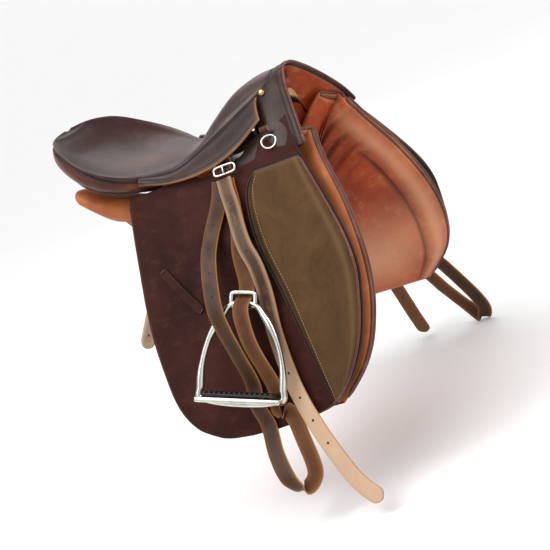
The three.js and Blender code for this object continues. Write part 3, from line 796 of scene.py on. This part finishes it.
def make_pad(hand, side):
    body = f"flap_body_{hand}"
    pad = shell(f"knee_cushion_{hand}", 48, 90, pad_place, ["suede", "dark_edge", "dark_edge"], side,
                (0.016, 0.01), pad_wear)
    put(pad, body, "suede", f"knee_pad_{hand}")
    for i, u in enumerate((0.035, 0.105)):
        seam(f"knee_pad_stitching_{i + 1}_{hand}", pad_place, lambda t: (u, 0.985 - 0.965 * t), 200,
             "thread" if i else "dark_thread", side, body, "suede")
    row, _ = traced(pad_place, lambda t: (0.004, 0.99 - 0.98 * t), 160)
    row = row - np.array([1.6, 0, 0])
    put(tube(f"knee_pad_rear_welt_{hand}", row, 1.7, "dark_edge", side), body, "suede")
    row, _ = traced(pad_place, lambda t: (0.99, 0.99 - 0.97 * t), 160)
    put(tube(f"knee_pad_front_welt_{hand}", row, 2.2, "piping", side), body, "suede")


# ---- Sweat flap, panel ----
def front_draw(x):
    return FRONT_DRAW * smooth(x, 170, 250)


def sweat_place(u, v, w):
    z = mix(78, -258, math.sin((1 - v) * math.pi / 2))
    x = mix(flap_rear(z) + 8, flap_front(z) - 6, u)
    off = SWEAT_OFFSET + FRONT_DRAW * smooth(u, 0.6, 0.95)
    return on_side(x, z, off + w * 3)


cushion = through([(-180, 122), (-160, 106), (-140, 91), (-107, 76), (-60, 60), (-20, 48), (40, 38),
                   (100, 42), (150, 58), (190, 86), (230, 104)])
inner_y = through([(-190, 34), (120, 34), (170, 46), (215, 66)])
inner_rise = through([(-190, 6), (-20, 6), (60, 12), (150, 20), (215, 34)])
panel_reach = through([(-140, 70), (-70, 46), (0, 40)])
panel_rear = through([(0, -162), (0.2, -180), (0.36, -178), (0.44, -146), (0.5, -92), (0.58, -80),
                      (0.82, -78), (0.93, -52), (1, 10)])
panel_front = through([(0, 204), (0.2, 216), (0.36, 226), (0.5, 240), (0.62, 262), (0.74, 272), (0.84, 264),
                       (0.93, 236), (1, 180)])
panel_swell = through([(0, 14), (0.12, 30), (0.3, 34), (0.5, 28), (0.8, 24), (1, 9)])


KNEE_ROLL, ROLL_SEAM = 0.93, 0.855


def panel_middle(x, d):
    base = cushion(x)
    t = min(1, d / 0.3)
    inner = (inner_y(x) + panel_reach(x) * t, base + inner_rise(x) * (1 - math.sin(t * math.pi / 2)) + 6 * t)
    z = mix(base + 4, -254, max(0, (d - 0.46) / 0.54))
    leg = on_side(x, z, PANEL_OFFSET + front_draw(x) - panel_swell(d) / 2 - 1)
    k = smooth(d, 0.22, 0.5)
    return np.array([x, mix(inner[0], leg[1], k), mix(inner[1], leg[2], k)])


def wrinkle(u, d):
    """Depth of the slanting folds that the leather has where the cushion turns down."""
    field = hump(u, 0.76, 0.17) * hump(d, 0.45, 0.11)
    wave = math.sin(d * 150 - u * 15 + 1.7 * math.sin(u * 9))
    return field * max(0, wave) ** 1.3


def panel_place(u, v, w):
    d = 1 - v
    x = mix(panel_rear(d), panel_front(d), u)
    p = panel_middle(x, d)
    q, r = panel_middle(x, min(1, d + 0.01)), panel_middle(x, max(0, d - 0.01))
    along = unit([0, q[1] - r[1], q[2] - r[2]])
    rim = 0.45 + 0.55 * math.sin(math.pi * min(max(u, 0), 1)) ** 0.4
    out = w * panel_swell(d) * rim
    if w < 0:
        roll = hump(u, KNEE_ROLL, 0.055) * smooth(d, 0.42, 0.6) * (1 - smooth(d, 0.9, 1.0))
        groove = hump(u, ROLL_SEAM, 0.014) * smooth(d, 0.52, 0.64) * (1 - smooth(d, 0.93, 1.0))
        out -= 6.5 * roll - 4.5 * groove - 6 * wrinkle(u, d)
    return [p[0], p[1] - along[2] * out, p[2] + along[1] * out]


def inner_panel(u, v, w):
    return panel_place(u, v, -w)


# Marks of the panel's outer face: painted highlights on the knee roll and the lower panel, painted shade in
# the slanting folds and in a band under the lining, and a dark knee-roll seam line.
def panel_light_and_shade(u, v):
    d = 1 - v
    # Painted shade in the folds.
    fold = wrinkle(u, d)
    seam = 0.7 * hump(u, ROLL_SEAM, 0.012) * smooth(d, 0.52, 0.64)
    # Painted shade in a band below the lining.
    shade = 0.35 * hump(d, 0.36, 0.14) * smooth(u, 0.2, 0.6) * (1 - smooth(u, 0.88, 0.95))
    # Painted highlights on the knee roll and the lower panel.
    shine = 0.45 * hump(u, 0.94, 0.04) * smooth(d, 0.3, 0.6) + 0.6 * hump(d, 0.86, 0.12) * hump(u, 0.6, 0.3)
    return (min(1, shine), min(1, 0.75 * fold + seam + shade))


def make_panel(hand, side):
    cushion_piece = shell(f"panel_cushion_{hand}", 110, 210, inner_panel, ["panel", "gusset", "gusset"], side,
                          (0.012, 0.01), panel_light_and_shade)
    put(cushion_piece, "root", "panel_leather", f"panel_{hand}")
    sweat = shell(f"sweat_leather_{hand}", 60, 60, sweat_place, ["sweat", "piping", "sweat"], side)
    put(sweat, "root", "sweat_leather", f"sweat_flap_{hand}")
    for name, u, w, radius, mat in (("panel_piping", 0.998, -0.25, 2.6, "piping"),
                                    ("panel_outer_piping", 0.998, 0.3, 2.4, "piping"),
                                    ("panel_rear_piping", 0.002, 0.0, 2.2, "dark_edge")):
        edging(f"{name}_{hand}", panel_place, u, w, 190, radius, mat, side, "root", "panel_leather")
    hem = [panel_place(u, 0.004, 0.0) for u in np.linspace(0.01, 0.99, 140)]
    put(tube(f"panel_hem_{hand}", hem, 2.4, "dark_edge", side), "root", "panel_leather")
    edging(f"sweat_welt_{hand}", sweat_place, 0.995, 0.0, 170, 2.2, "piping", side, "root", "sweat_leather")
    seam(f"knee_roll_stitching_{hand}", inner_panel, lambda t: (ROLL_SEAM, 0.42 - 0.36 * t), 130,
         "dark_thread", side, "root", "panel_leather")


# ---- Skirt ----
skirt_top = through([(-60, 112), (0, 94), (60, 82), (120, 70), (160, 56)])
skirt_top_z = through([(-60, 121), (0, 107), (60, 124), (120, 147), (160, 165)])
skirt_low = through([(-60, 122), (6, 130), (70, 133), (120, 126), (160, 104)])
skirt_low_z = through([(-60, 113), (6, 99), (70, 99), (120, 113), (160, 138)])


def skirt_place(u, v, w):
    x = mix(-50, 160, u)
    forward = 12 * u * u * (1 - v)
    y = mix(skirt_low(x), skirt_top(x) + 1.5, v)
    z = mix(skirt_low_z(x), skirt_top_z(x), v)
    bow = 5 * math.sin(math.pi * v) + 2
    return [x + forward, y + (bow + w * 3.6) * 0.6, z + (bow + w * 3.6) * 0.8]


def skirt_wear(u, v):
    return (0.55 * hump(v, 0, 0.05) + 0.4 * hump(u, 1, 0.02), 0.3 * hump(v, 0.12, 0.03))


def make_skirt(hand, side):
    body = f"skirt_body_{hand}"
    piece = shell(f"skirt_leather_{hand}", 90, 26, skirt_place, ["skirt", "cut_edge", "skirt"], side,
                  (0.008, 0.02), skirt_wear)
    put(piece, None, "skirt_leather", f"skirt_{hand}")
    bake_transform(piece)
    seam(f"skirt_stitching_{hand}", skirt_place, lambda t: (0.02 + 0.95 * t, 0.14), 160,
         "dark_thread", side, body, "skirt_leather")
    line = [skirt_place(u, 0.995, 0.4) for u in np.linspace(0.01, 0.99, 100)]
    put(tube(f"skirt_seam_welt_{hand}", line, 1.8, "dark_edge", side), "root", "skirt_leather")


# ---- Pommel, gullet ----
POMMEL_EDGE = [(224, 122, 86), (219, 105, 112), (209, 77, 144), (198, 43, 174), (193, 14, 189)]
FACING_TOP = [(168, 116, 97), (162, 104, 118), (156, 84, 140), (160, 52, 163), (174, 20, 182)]


def lofted(a, b, thick, bulge):
    """place(u, v, w) of a sheet from curve a, at v = 0, to curve b, standing off by bulge between them."""
    def place(u, v, w):
        i = u * (len(a) - 1)
        low = min(int(i), len(a) - 2)
        k = i - low
        p, q = mix(a[low], a[low + 1], k), mix(b[low], b[low + 1], k)
        ahead = mix(a[low + 1] - a[low], b[low + 1] - b[low], v)
        n = unit(np.cross(ahead, q - p))
        if n[2] + 0.3 * n[1] * np.sign(p[1]) < 0:
            n = -n
        return list(mix(p, q, v) + n * (bulge * math.sin(math.pi * min(max(v, 0), 1)) + w * thick))
    return place


def mirrored(half):
    """A curve from the left side over the middle to the right."""
    return catmull(half + [(x, -y, z) for x, y, z in reversed(half)], 140)


def corner_place(u, v, w):
    x = 112 + 74 * u
    return on_side(x, mix(84, 106 + 26 * u, v), -4.2 + 2.4 * w)


# Lighter towards the arch; darker in waves towards the deep, wavy edge, a painted shade along the cut.
def lining_tone_and_shade(u, v):
    wave = 0.5 + 0.5 * math.sin(u * 60)
    return (0.35 * (1 - v), 0.5 * smooth(v, 0.72, 1) * wave)


def make_pommel():
    path = mirrored(POMMEL_EDGE)
    run = tangents(path)
    sections = []
    for p, t in zip(path, run):
        s = unit(np.array([0.95, 0, 0.3]) - t * np.dot([0.95, 0, 0.3], t))
        n = np.cross(t, s)
        if np.dot(n, (0, p[1], 100)) < 0:
            n = -n
        fold = 0.5 * math.sin(p[1] * 0.55) * hump(p[1], 0, 46)
        ring = [(6.6, 0), (5.8, 2.2 + fold), (2, 3.2 + fold), (-2, 3 + fold), (-5.8, 2), (-6.4, 0),
                (-5, -2), (5, -2)]
        sections.append([p + s * a + n * b for a, b in ring])
    put(swept("pommel_edge_binding", sections, "skirt"), "root", "skirt_leather", "pommel_binding")
    put(tube("pommel_front_piping", path + np.array([7.0, 0, 2.1]), 1.9, "piping"), "root", "skirt_leather")
    sheet = lofted(path + np.array([-3, 0, 0.5]), mirrored(FACING_TOP), 2.4, 3.5)
    facing = shell("pommel_facing", 120, 20, sheet,
                   "skirt", inset=(0.004, 0.02))
    put(facing, "root", "skirt_leather")
    for hand, side in SIDES:
        corner = shell(f"pommel_corner_{hand}", 40, 24, corner_place, "skirt", side, (0.02, 0.03))
        put(corner, "root", "skirt_leather")
    arch = path[10:-10]
    deep = arch * np.array([1, 0.5, 1]) + np.array([-84, 0, -24])
    for i in range(len(deep)):
        deep[i] += np.array([5 * math.sin(i * 0.42), 0, 2.5 * math.sin(i * 0.42 + 1)])
    lining = shell("gullet_lining_leather", 110, 22, lofted(arch + np.array([2, 0, -3.5]), deep, 2.4, -4),
                   ["gusset", "cut_edge", "panel"], inset=(0.004, 0.02), wear_and_highlight=lining_tone_and_shade)
    put(lining, "root", "panel_leather", "gullet_lining")


# ---- Straps ----
GIRTH = (("front", (34, 52), (-48, -206), 0), ("middle", (4, 52), (-72, -190), 1),
         ("rear", (-34, 52), (-118, -108), 2))


def make_girth(hand, side):
    for name, top, tip, layer in GIRTH:
        points = [on_side(mix(top[0], tip[0], t ** 1.15), mix(top[1], tip[1], t), STRAP_LAYERS[layer])
                  for t in np.arange(7) / 6]
        body = f"girth_{name}_body_{hand}"
        strap = belt(f"girth_strap_{name}_leather_{hand}", points, (1, 0, 0), LEATHER_WIDTH, STRAP_THICK,
                     ["girth", "girth", "cut_edge"], side, 120)
        put(strap, body, "girth_leather", f"girth_strap_{name}_{hand}")
        path = catmull(points, 120)
        run = tangents(path)
        spots = []
        for i in range(52, 112, 9):
            n = unit(np.cross(run[i], (1, 0, 0)))
            n = n if n[1] > 0 else -n
            spots.append((path[i] + n * STRAP_THICK * 0.56, n))
            spots.append((path[i] - n * STRAP_THICK * 0.56, -n))
        put(discs(f"girth_holes_{name}_{hand}", spots, side), body, "girth_leather")


IRON_BASE = np.array([55, 294.5, -204.5])
IRON_ACROSS = unit([0.958, 0.028, -0.284])
IRON_UP = np.array([0.182, -0.415, 0.891])
IRON_UP = unit(IRON_UP - IRON_ACROSS * np.dot(IRON_UP, IRON_ACROSS))
IRON_OUT = np.cross(IRON_UP, IRON_ACROSS)
HANG_PIVOT = np.array([98, 116, 100])
HANG_AXIS = unit([0, 0.9, 0.44])
LEFT_HANG = math.radians(8.5)
TURN = np.array(Matrix.Rotation(-LEFT_HANG, 3, Vector(HANG_AXIS)))


def by_iron(a, b, n):
    return IRON_BASE + IRON_ACROSS * a + IRON_UP * b + IRON_OUT * n


def hang_left(p):
    return TURN @ (np.asarray(p) - HANG_PIVOT) + HANG_PIVOT


HANG = {"left": hang_left, "right": np.asarray}
EYE_RUN = [(50, -9, -23), (45, 17, -22.3), (33, 42, -15), (15, 82, 5), (3, 122, 13), (0, 138, 9),
           (0, EYE_HEIGHT, 0), (0, 155, -9), (-2, 170, -15)]
FRONT_RUN = [(-37, 128, 15), (-24, 100, 11), (-9, 66, -4)]
LEATHER_RUN = {
    "right": {
        "down": [(86, 76, 8.5), (83, 64, 8.5), (76, 46, 8.5), (56, 10, 11), (51, -24, 27)],
        "front": FRONT_RUN + [(8, 26, -21.8), (16, -4, -22.4)],
        "loop": [(75, -256, 11), (82, -299, 22), (97, -334, 31), (112, -350, 22), (129, -336, 14),
                 (125, -290, 11), (113, -246, 10.5)],
        "back": EYE_RUN,
        "up": [(93, -24, 7), (97, 4, 4.4), (98, 40, 4.2), (96, 66, 4.2), (96, 76, 4.2)],
    },
    "left": {
        "down": [(86, 76, 13), (83, 61, 13.5), (76, 42, 13.5), (56, 10, 15), (51, -24, 27)],
        "front": FRONT_RUN + [(8, 26, -21.2), (16, -4, -21.2)],
        "loop": [(88, -256, 14), (96, -330, 24), (107, -388, 30), (122, -410, 22), (138, -390, 17),
                 (136, -320, 14), (119, -244, 12)],
        "back": EYE_RUN,
        "up": [(93, -24, 11), (97, 4, 9), (98, 40, 9), (96, 62, 9), (96, 76, 9)],
    },
}
TAIL_RUN = {
    "right": [(97, 76, 14), (98, 60, 14), (101, 39, 14), (108, -16, 17), (121, -50, 20), (124, -84, 16),
              (121, -140, 9), (131, -211, 11), (147, -262, 13), (172, -317, 16), (196, -359, 18),
              (224, -385, 22)],
    "left": [(98, 76, 4.2), (98, 66, 4.2), (99, 30, 4.2), (98, -60, 4.2), (96, -160, 4.2), (94, -240, 5),
             (92, -297, 10), (90, -348, 14), (89, -400, 20)],
}
TAIL_FADED = {"right": 0.8, "left": 0.3}
HOLE_PITCH = 38
STRAP_FACES = ["strap", "flesh", "cut_edge"]


def hole_spots(points, across, hang, first, count):
    path = catmull(points, 400)
    run = tangents(path)
    step = np.linalg.norm(path[1] - path[0])
    spots = []
    for i in range(count):
        at = min(399, int((first + i * HOLE_PITCH) / step))
        s = unit(np.asarray(across, float) - run[at] * np.dot(across, run[at]))
        n = np.cross(run[at], s)
        for face in (1, -1):
            p = hang(path[at] + n * face * STRAP_THICK * 0.57)
            m = hang(path[at] + n * face * 10) - hang(path[at])
            spots.append((p, m))
    return spots


def make_leather(hand, side):
    body = f"leather_body_{hand}"
    run = LEATHER_RUN[hand]
    points = [on_side(*p) for p in run["down"]] + [by_iron(*p) for p in run["front"]]
    points += [on_side(*p) for p in run["loop"]] + [by_iron(*p) for p in run["back"]]
    points += [on_side(*p) for p in run["up"]]
    across = (0.96, 0.1, -0.26)
    strap = belt(f"stirrup_strap_{hand}", points, across, LEATHER_WIDTH, STRAP_THICK, STRAP_FACES,
                 side, 420, HANG[hand], tip=0)
    put(strap, body, "strap_leather", f"stirrup_leather_{hand}")
    spots = hole_spots(points, across, HANG[hand], 30, 5)
    put(discs(f"stirrup_strap_holes_{hand}", spots, side, 1.8), body, "strap_leather")
    tail = [on_side(*p) for p in TAIL_RUN[hand]]
    piece = belt(f"strap_tail_{hand}", tail, (1, 0, 0), LEATHER_WIDTH, STRAP_THICK,
                 ["tail", "flesh", "cut_edge"], side, 260, None, 12.0, TAIL_FADED[hand])
    put(piece, body, "strap_leather", f"leather_tail_{hand}")
    spots = hole_spots(tail, (1, 0, 0), np.asarray, 40, 11)
    put(discs(f"strap_tail_holes_{hand}", spots, side, 1.9), body, "strap_leather")
    x = 96
    top = [(x, BAR_Y - 5.5, 91), (x, BAR_Y - 5.5, BAR_Z), (x, BAR_Y - 5, BAR_Z + 6.5), (x, BAR_Y, BAR_Z + 9),
           (x, BAR_Y + 5, BAR_Z + 6.5), (x, BAR_Y + 6.6, BAR_Z), on_side(x, 93, 6), on_side(x, 88, 6.5)]
    turn = belt(f"bar_turn_{hand}", top, (1, 0, 0), LEATHER_WIDTH, STRAP_THICK, STRAP_FACES, side,
                60, None, tip=0)
    put(turn, "root", "strap_leather", f"leather_top_{hand}")


def make_keeper(hand, side):
    points = [on_side(mix(-44, 8, t), mix(-16, -84, t), FLAP_THICK / 2 + 2 + 3 * math.sin(math.pi * t))
              for t in np.linspace(0, 1, 6)]
    across = (0.84, -0.24, 0.49)
    strip = belt(f"keeper_strip_{hand}", points, across, 13, 2.4, ["flap", "flap", "dark_edge"],
                 side, 80, None, 5)
    body = f"flap_body_{hand}"
    put(strip, body, "flap_leather", f"flap_keeper_{hand}")
    for name, i in (("top", 0), ("bottom", 5)):
        centre = points[i]
        line = [centre + np.array(across) * s + on_side(0, 0, 2.2) - on_side(0, 0, 0)
                for s in np.linspace(-5, 5, 8)]
        normals = [on_side(0, 0, 1) - on_side(0, 0, 0)] * 8
        row = stitches(f"keeper_{name}_stitching_{hand}", line, normals, "thread", side, 3.0, 2.0)
        put(row, body, "flap_leather")


# ---- Stirrup iron ----
iron_half = through([(0, 65), (44, 64), (86, 53), (118, 34), (134, 19)])


def rounded_ring(half_a, low, high, corner, count):
    """A rounded rectangle in the iron's own plane."""
    points = []
    for t in around(count):
        c, s = math.cos(t), math.sin(t)
        points.append((squared(c, corner) * half_a,
                       (low + high) / 2 + squared(s, corner) * (high - low) / 2))
    return points


def bent_bar(name, flat, size, sides, power, hang, side):
    """A closed bar in the iron's plane: size(a, b) gives its half width and half depth."""
    sections = []
    for p, t in zip(flat, tangents(flat, closed=True)):
        out = np.array([t[1], -t[0], 0])
        wide, deep = size(p[0], p[1])
        ring = []
        for turn in around(sides):
            q = p + out * wide * squared(math.cos(turn), power)
            ring.append(hang(by_iron(q[0], q[1], deep * squared(math.sin(turn), power))))
        sections.append(ring)
    return swept(name, sections, "nickel", side, True)


def make_iron(hand, side):
    body = f"iron_body_{hand}"
    hang = HANG[hand]
    rows = [(iron_half(i * 15), i * 15 + 4) for i in range(10)]
    outline = rows + [(-a, b) for a, b in reversed(rows)]
    flat = catmull([(a, b, 0) for a, b in outline], 200, closed=True)

    def bow_size(a, b):
        if b < 7 and abs(a) < 60:
            return 3.2, 3.6
        post, shoulder = 1 - smooth(b, 30, 62), hump(b, 112, 16)
        return 4.0 + 1.5 * post + 1.8 * shoulder, 4.6 + 1.4 * post + 0.6 * shoulder

    bow = bent_bar(f"iron_bow_{hand}", flat, bow_size, 16, 1, hang, side)
    put(bow, body, "bright_steel", f"stirrup_iron_{hand}")
    flat = np.array([(a, b, 0) for a, b in rounded_ring(19, 136.2, 157, 0.35, 96)])
    eye = bent_bar(f"iron_eye_{hand}", flat, lambda a, b: (3.1, 3.6), 14, 0.7, hang, side)
    put(eye, body, "bright_steel")
    block(f"iron_base_{hand}", (-67, 67), (-2, 6), TREAD_DEPTH / 2, hang, "nickel", side,
          body, "bright_steel", 2.4)
    pad = block(f"tread_pad_{hand}", (-56, 56), (8.2, 11.5), TREAD_DEPTH / 2 - 2, hang, "rubber", side,
                body, "rubber", 1)
    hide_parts(f"tread_rubber_{hand}")
    for i in range(14):
        a = -52 + i * 8
        block(f"tread_rib_{i + 1}_{hand}", (a - 1.9, a + 1.9), (11, 14), TREAD_DEPTH / 2 - 2.5, hang,
              "rubber", side, body, "rubber", 0.8)


def block(name, wide, tall, half_deep, hang, mat, side, body, slot, edge):
    """A bar with rounded edges in the iron's own frame."""
    verts = [hang(by_iron(a, b, n)) for b in tall for a in wide for n in (-half_deep, half_deep)]
    faces = [(0, 1, 3, 2), (4, 6, 7, 5), (0, 4, 5, 1), (2, 3, 7, 6), (0, 2, 6, 4), (1, 5, 7, 3)]
    piece = mesh_object(name, verts, faces, [mat], None, side)
    bevel = piece.modifiers.new("rounded", "BEVEL")
    bevel.width = edge * MM
    bevel.segments = 4
    bevel.limit_method = "NONE"
    weighted = piece.modifiers.new("normals", "WEIGHTED_NORMAL")
    weighted.keep_sharp = False
    put(piece, body, slot)
    return piece


# ---- Small hardware ----
DEE_AT = np.array([176, 113.6, 118])
BUCKLE_AT = (100, 88, 12)
STUD_AT = np.array([168, 56, 170])


def make_hardware(hand, side):
    normal = unit([0.25, 0.85, 0.45])
    down = unit(np.array([0, 0, -1]) + normal * normal[2])
    across = np.cross(normal, down)
    centre = DEE_AT + down * 11
    ring = []
    for a in around(64):
        flat = 0.75 if math.sin(a) < -0.2 else 1
        ring.append(centre + across * 11 * math.cos(a) + down * 11 * flat * math.sin(a))
    dee = tube(f"dee_{hand}", ring, 1.6, "nickel", side, 12, True, normal)
    put(dee, f"dee_body_{hand}", "bright_steel", f"dee_ring_{hand}")
    loop = [DEE_AT + np.array([0, -1.5 + 3.2 * math.sin(math.pi * t), 3 + 8 * t]) for t in (0, 0.3, 0.7, 1)]
    staple = belt(f"dee_chape_{hand}", loop, (1, 0, 0), 14, 2.2, ["strap", "strap", "cut_edge"],
                  side, 30, None, 0)
    put(staple, "root", "strap_leather", f"dee_staple_{hand}")
    x, z, off = BUCKLE_AT
    middle = on_side(x, z, off)
    out = unit([0, 0.9, 0.44])
    along = np.array([1, 0, 0])
    up = -np.cross(along, out)
    ring = []
    for t in around(72):
        c, s = math.cos(t), math.sin(t)
        ring.append(middle + along * squared(c, 0.5) * 18 + up * squared(s, 0.5) * 6.5)
    buckle = tube(f"buckle_frame_{hand}", ring, 1.8, "nickel", side, 12, True, out)
    put(buckle, "root", "bright_steel", f"leather_buckle_{hand}")
    pin = [on_side(x, z - 7 + 14 * t, off + 4.2 + 0.8 * math.sin(math.pi * t)) for t in np.linspace(0, 1, 14)]
    tongue = tube(f"buckle_pin_{hand}", pin, 1.2, "nickel", side, 10)
    put(tongue, f"tongue_body_{hand}", "bright_steel", f"buckle_tongue_{hand}")
    tilt = np.array(Matrix.Rotation(-math.pi * 0.36, 3, "X"))
    rings = []
    for k in np.linspace(0.02, 0.98, 12):
        r, h = 5 * math.sin(math.pi * k), 2.5 * math.cos(math.pi * k)
        rings.append([tilt @ v + STUD_AT for v in circle(np.array([0, 0, h]), r, EAST, NORTH, 24)])
    put(swept(f"stud_{hand}", rings, "brass", side), "root", "brass", f"seat_stud_{hand}")


# ---- Frame nodes that keep their own shape ----
KEPT = {"seat_foam": "foam", "seat_webbing": "web", "cantle_board": "wood", "head_arch": "wood",
        "head_plate": "black_steel", "gullet_plate": "black_steel"}
for hand, _ in SIDES:
    KEPT.update({f"tree_rail_{hand}": "black_steel", f"stirrup_bar_{hand}": "bar", f"bar_catch_{hand}": "bar",
                 f"girth_web_{hand}": "web"})
for node, mat in KEPT.items():
    data = frame["nodes"][node].data
    data.materials.clear()
    data.materials.append(M[mat])


# ---- Build ----
make_seat()
make_cantle()
make_pommel()
for hand, side in SIDES:
    make_flap(hand, side)
    make_pad(hand, side)
    make_panel(hand, side)
    make_skirt(hand, side)
    make_girth(hand, side)
    make_leather(hand, side)
    make_keeper(hand, side)
    make_iron(hand, side)
    make_hardware(hand, side)


# ---- Stage, light and camera ----
def floor():
    """A level paper floor that sweeps up far away."""
    level = cad_low[2] - FLOOR_GAP * MM
    rings = [(0, 0), (3, 0), (7, 0), (12, 0.3), (20, 1.4), (35, 5), (60, 14)]
    spokes = 64
    verts = [v for radius, rise in rings
             for v in circle(np.array([0, 0, level + rise]), radius, EAST, NORTH, spokes)]
    faces = []
    for ring in range(len(rings) - 1):
        for k in range(spokes):
            a, b = ring * spokes + k, ring * spokes + (k + 1) % spokes
            faces.append((a, a + spokes, b + spokes, b) if ring else (a, a + spokes, b + spokes))
    data = bpy.data.meshes.new("studio_floor")
    data.from_pydata(verts, [], faces)
    data.materials.append(wall_paint("studio_paper", (246, 246, 246)))
    for face in data.polygons:
        face.use_smooth = True
    obj = bpy.data.objects.new("studio_floor", data)
    bpy.context.scene.collection.objects.link(obj)


LAMP_TARGET = Vector((0.05, 0, 0))


def light(name, kind, place, aim, power, **settings):
    """A light at place that shines along aim."""
    data = bpy.data.lights.new(name, kind)
    data.energy = power
    for key, value in settings.items():
        setattr(data, key, value)
    obj = bpy.data.objects.new(name, data)
    obj.location = place
    obj.rotation_euler = aim.to_track_quat("-Z", "Y").to_euler()
    bpy.context.scene.collection.objects.link(obj)


def lamp(name, place, size, power):
    light(name, "AREA", place, LAMP_TARGET - Vector(place), power, shape="DISK", size=size)


WORLD_LIGHT = 0.42


def world():
    paper = bpy.data.worlds.new("studio")
    paper.use_nodes = True
    background = paper.node_tree.nodes["Background"]
    background.inputs["Color"].default_value = (1, 1, 1, 1)
    background.inputs["Strength"].default_value = WORLD_LIGHT
    bpy.context.scene.world = paper


def camera():
    data = bpy.data.cameras.new("camera")
    data.lens = 91.33
    data.sensor_width = 36
    obj = bpy.data.objects.new("camera", data)
    right = (0.84708561, 0.34764551, -0.40198082)
    up = (0.26940993, 0.3710936, 0.88865507)
    back = (0.45810945, -0.86106454, 0.22068889)
    place = (1.05925, -1.92813, 0.37766)
    obj.matrix_world = Matrix([(right[k], up[k], back[k], place[k]) for k in range(3)] + [(0, 0, 0, 1)])
    bpy.context.scene.collection.objects.link(obj)
    bpy.context.scene.camera = obj


floor()
light("window", "SUN", (0, 0, 0), Vector((0.9, 1.2, -2.6)), 2.15, angle=math.radians(70))
lamp("key", (-0.9, -1.3, 2.2), 1.2, 16)
lamp("fill", (2.2, -0.4, 1.4), 1.6, 24)
lamp("back", (-0.6, 2.0, 1.8), 1.8, 8)
world()
camera()
bpy.context.scene.view_settings.view_transform = "Standard"
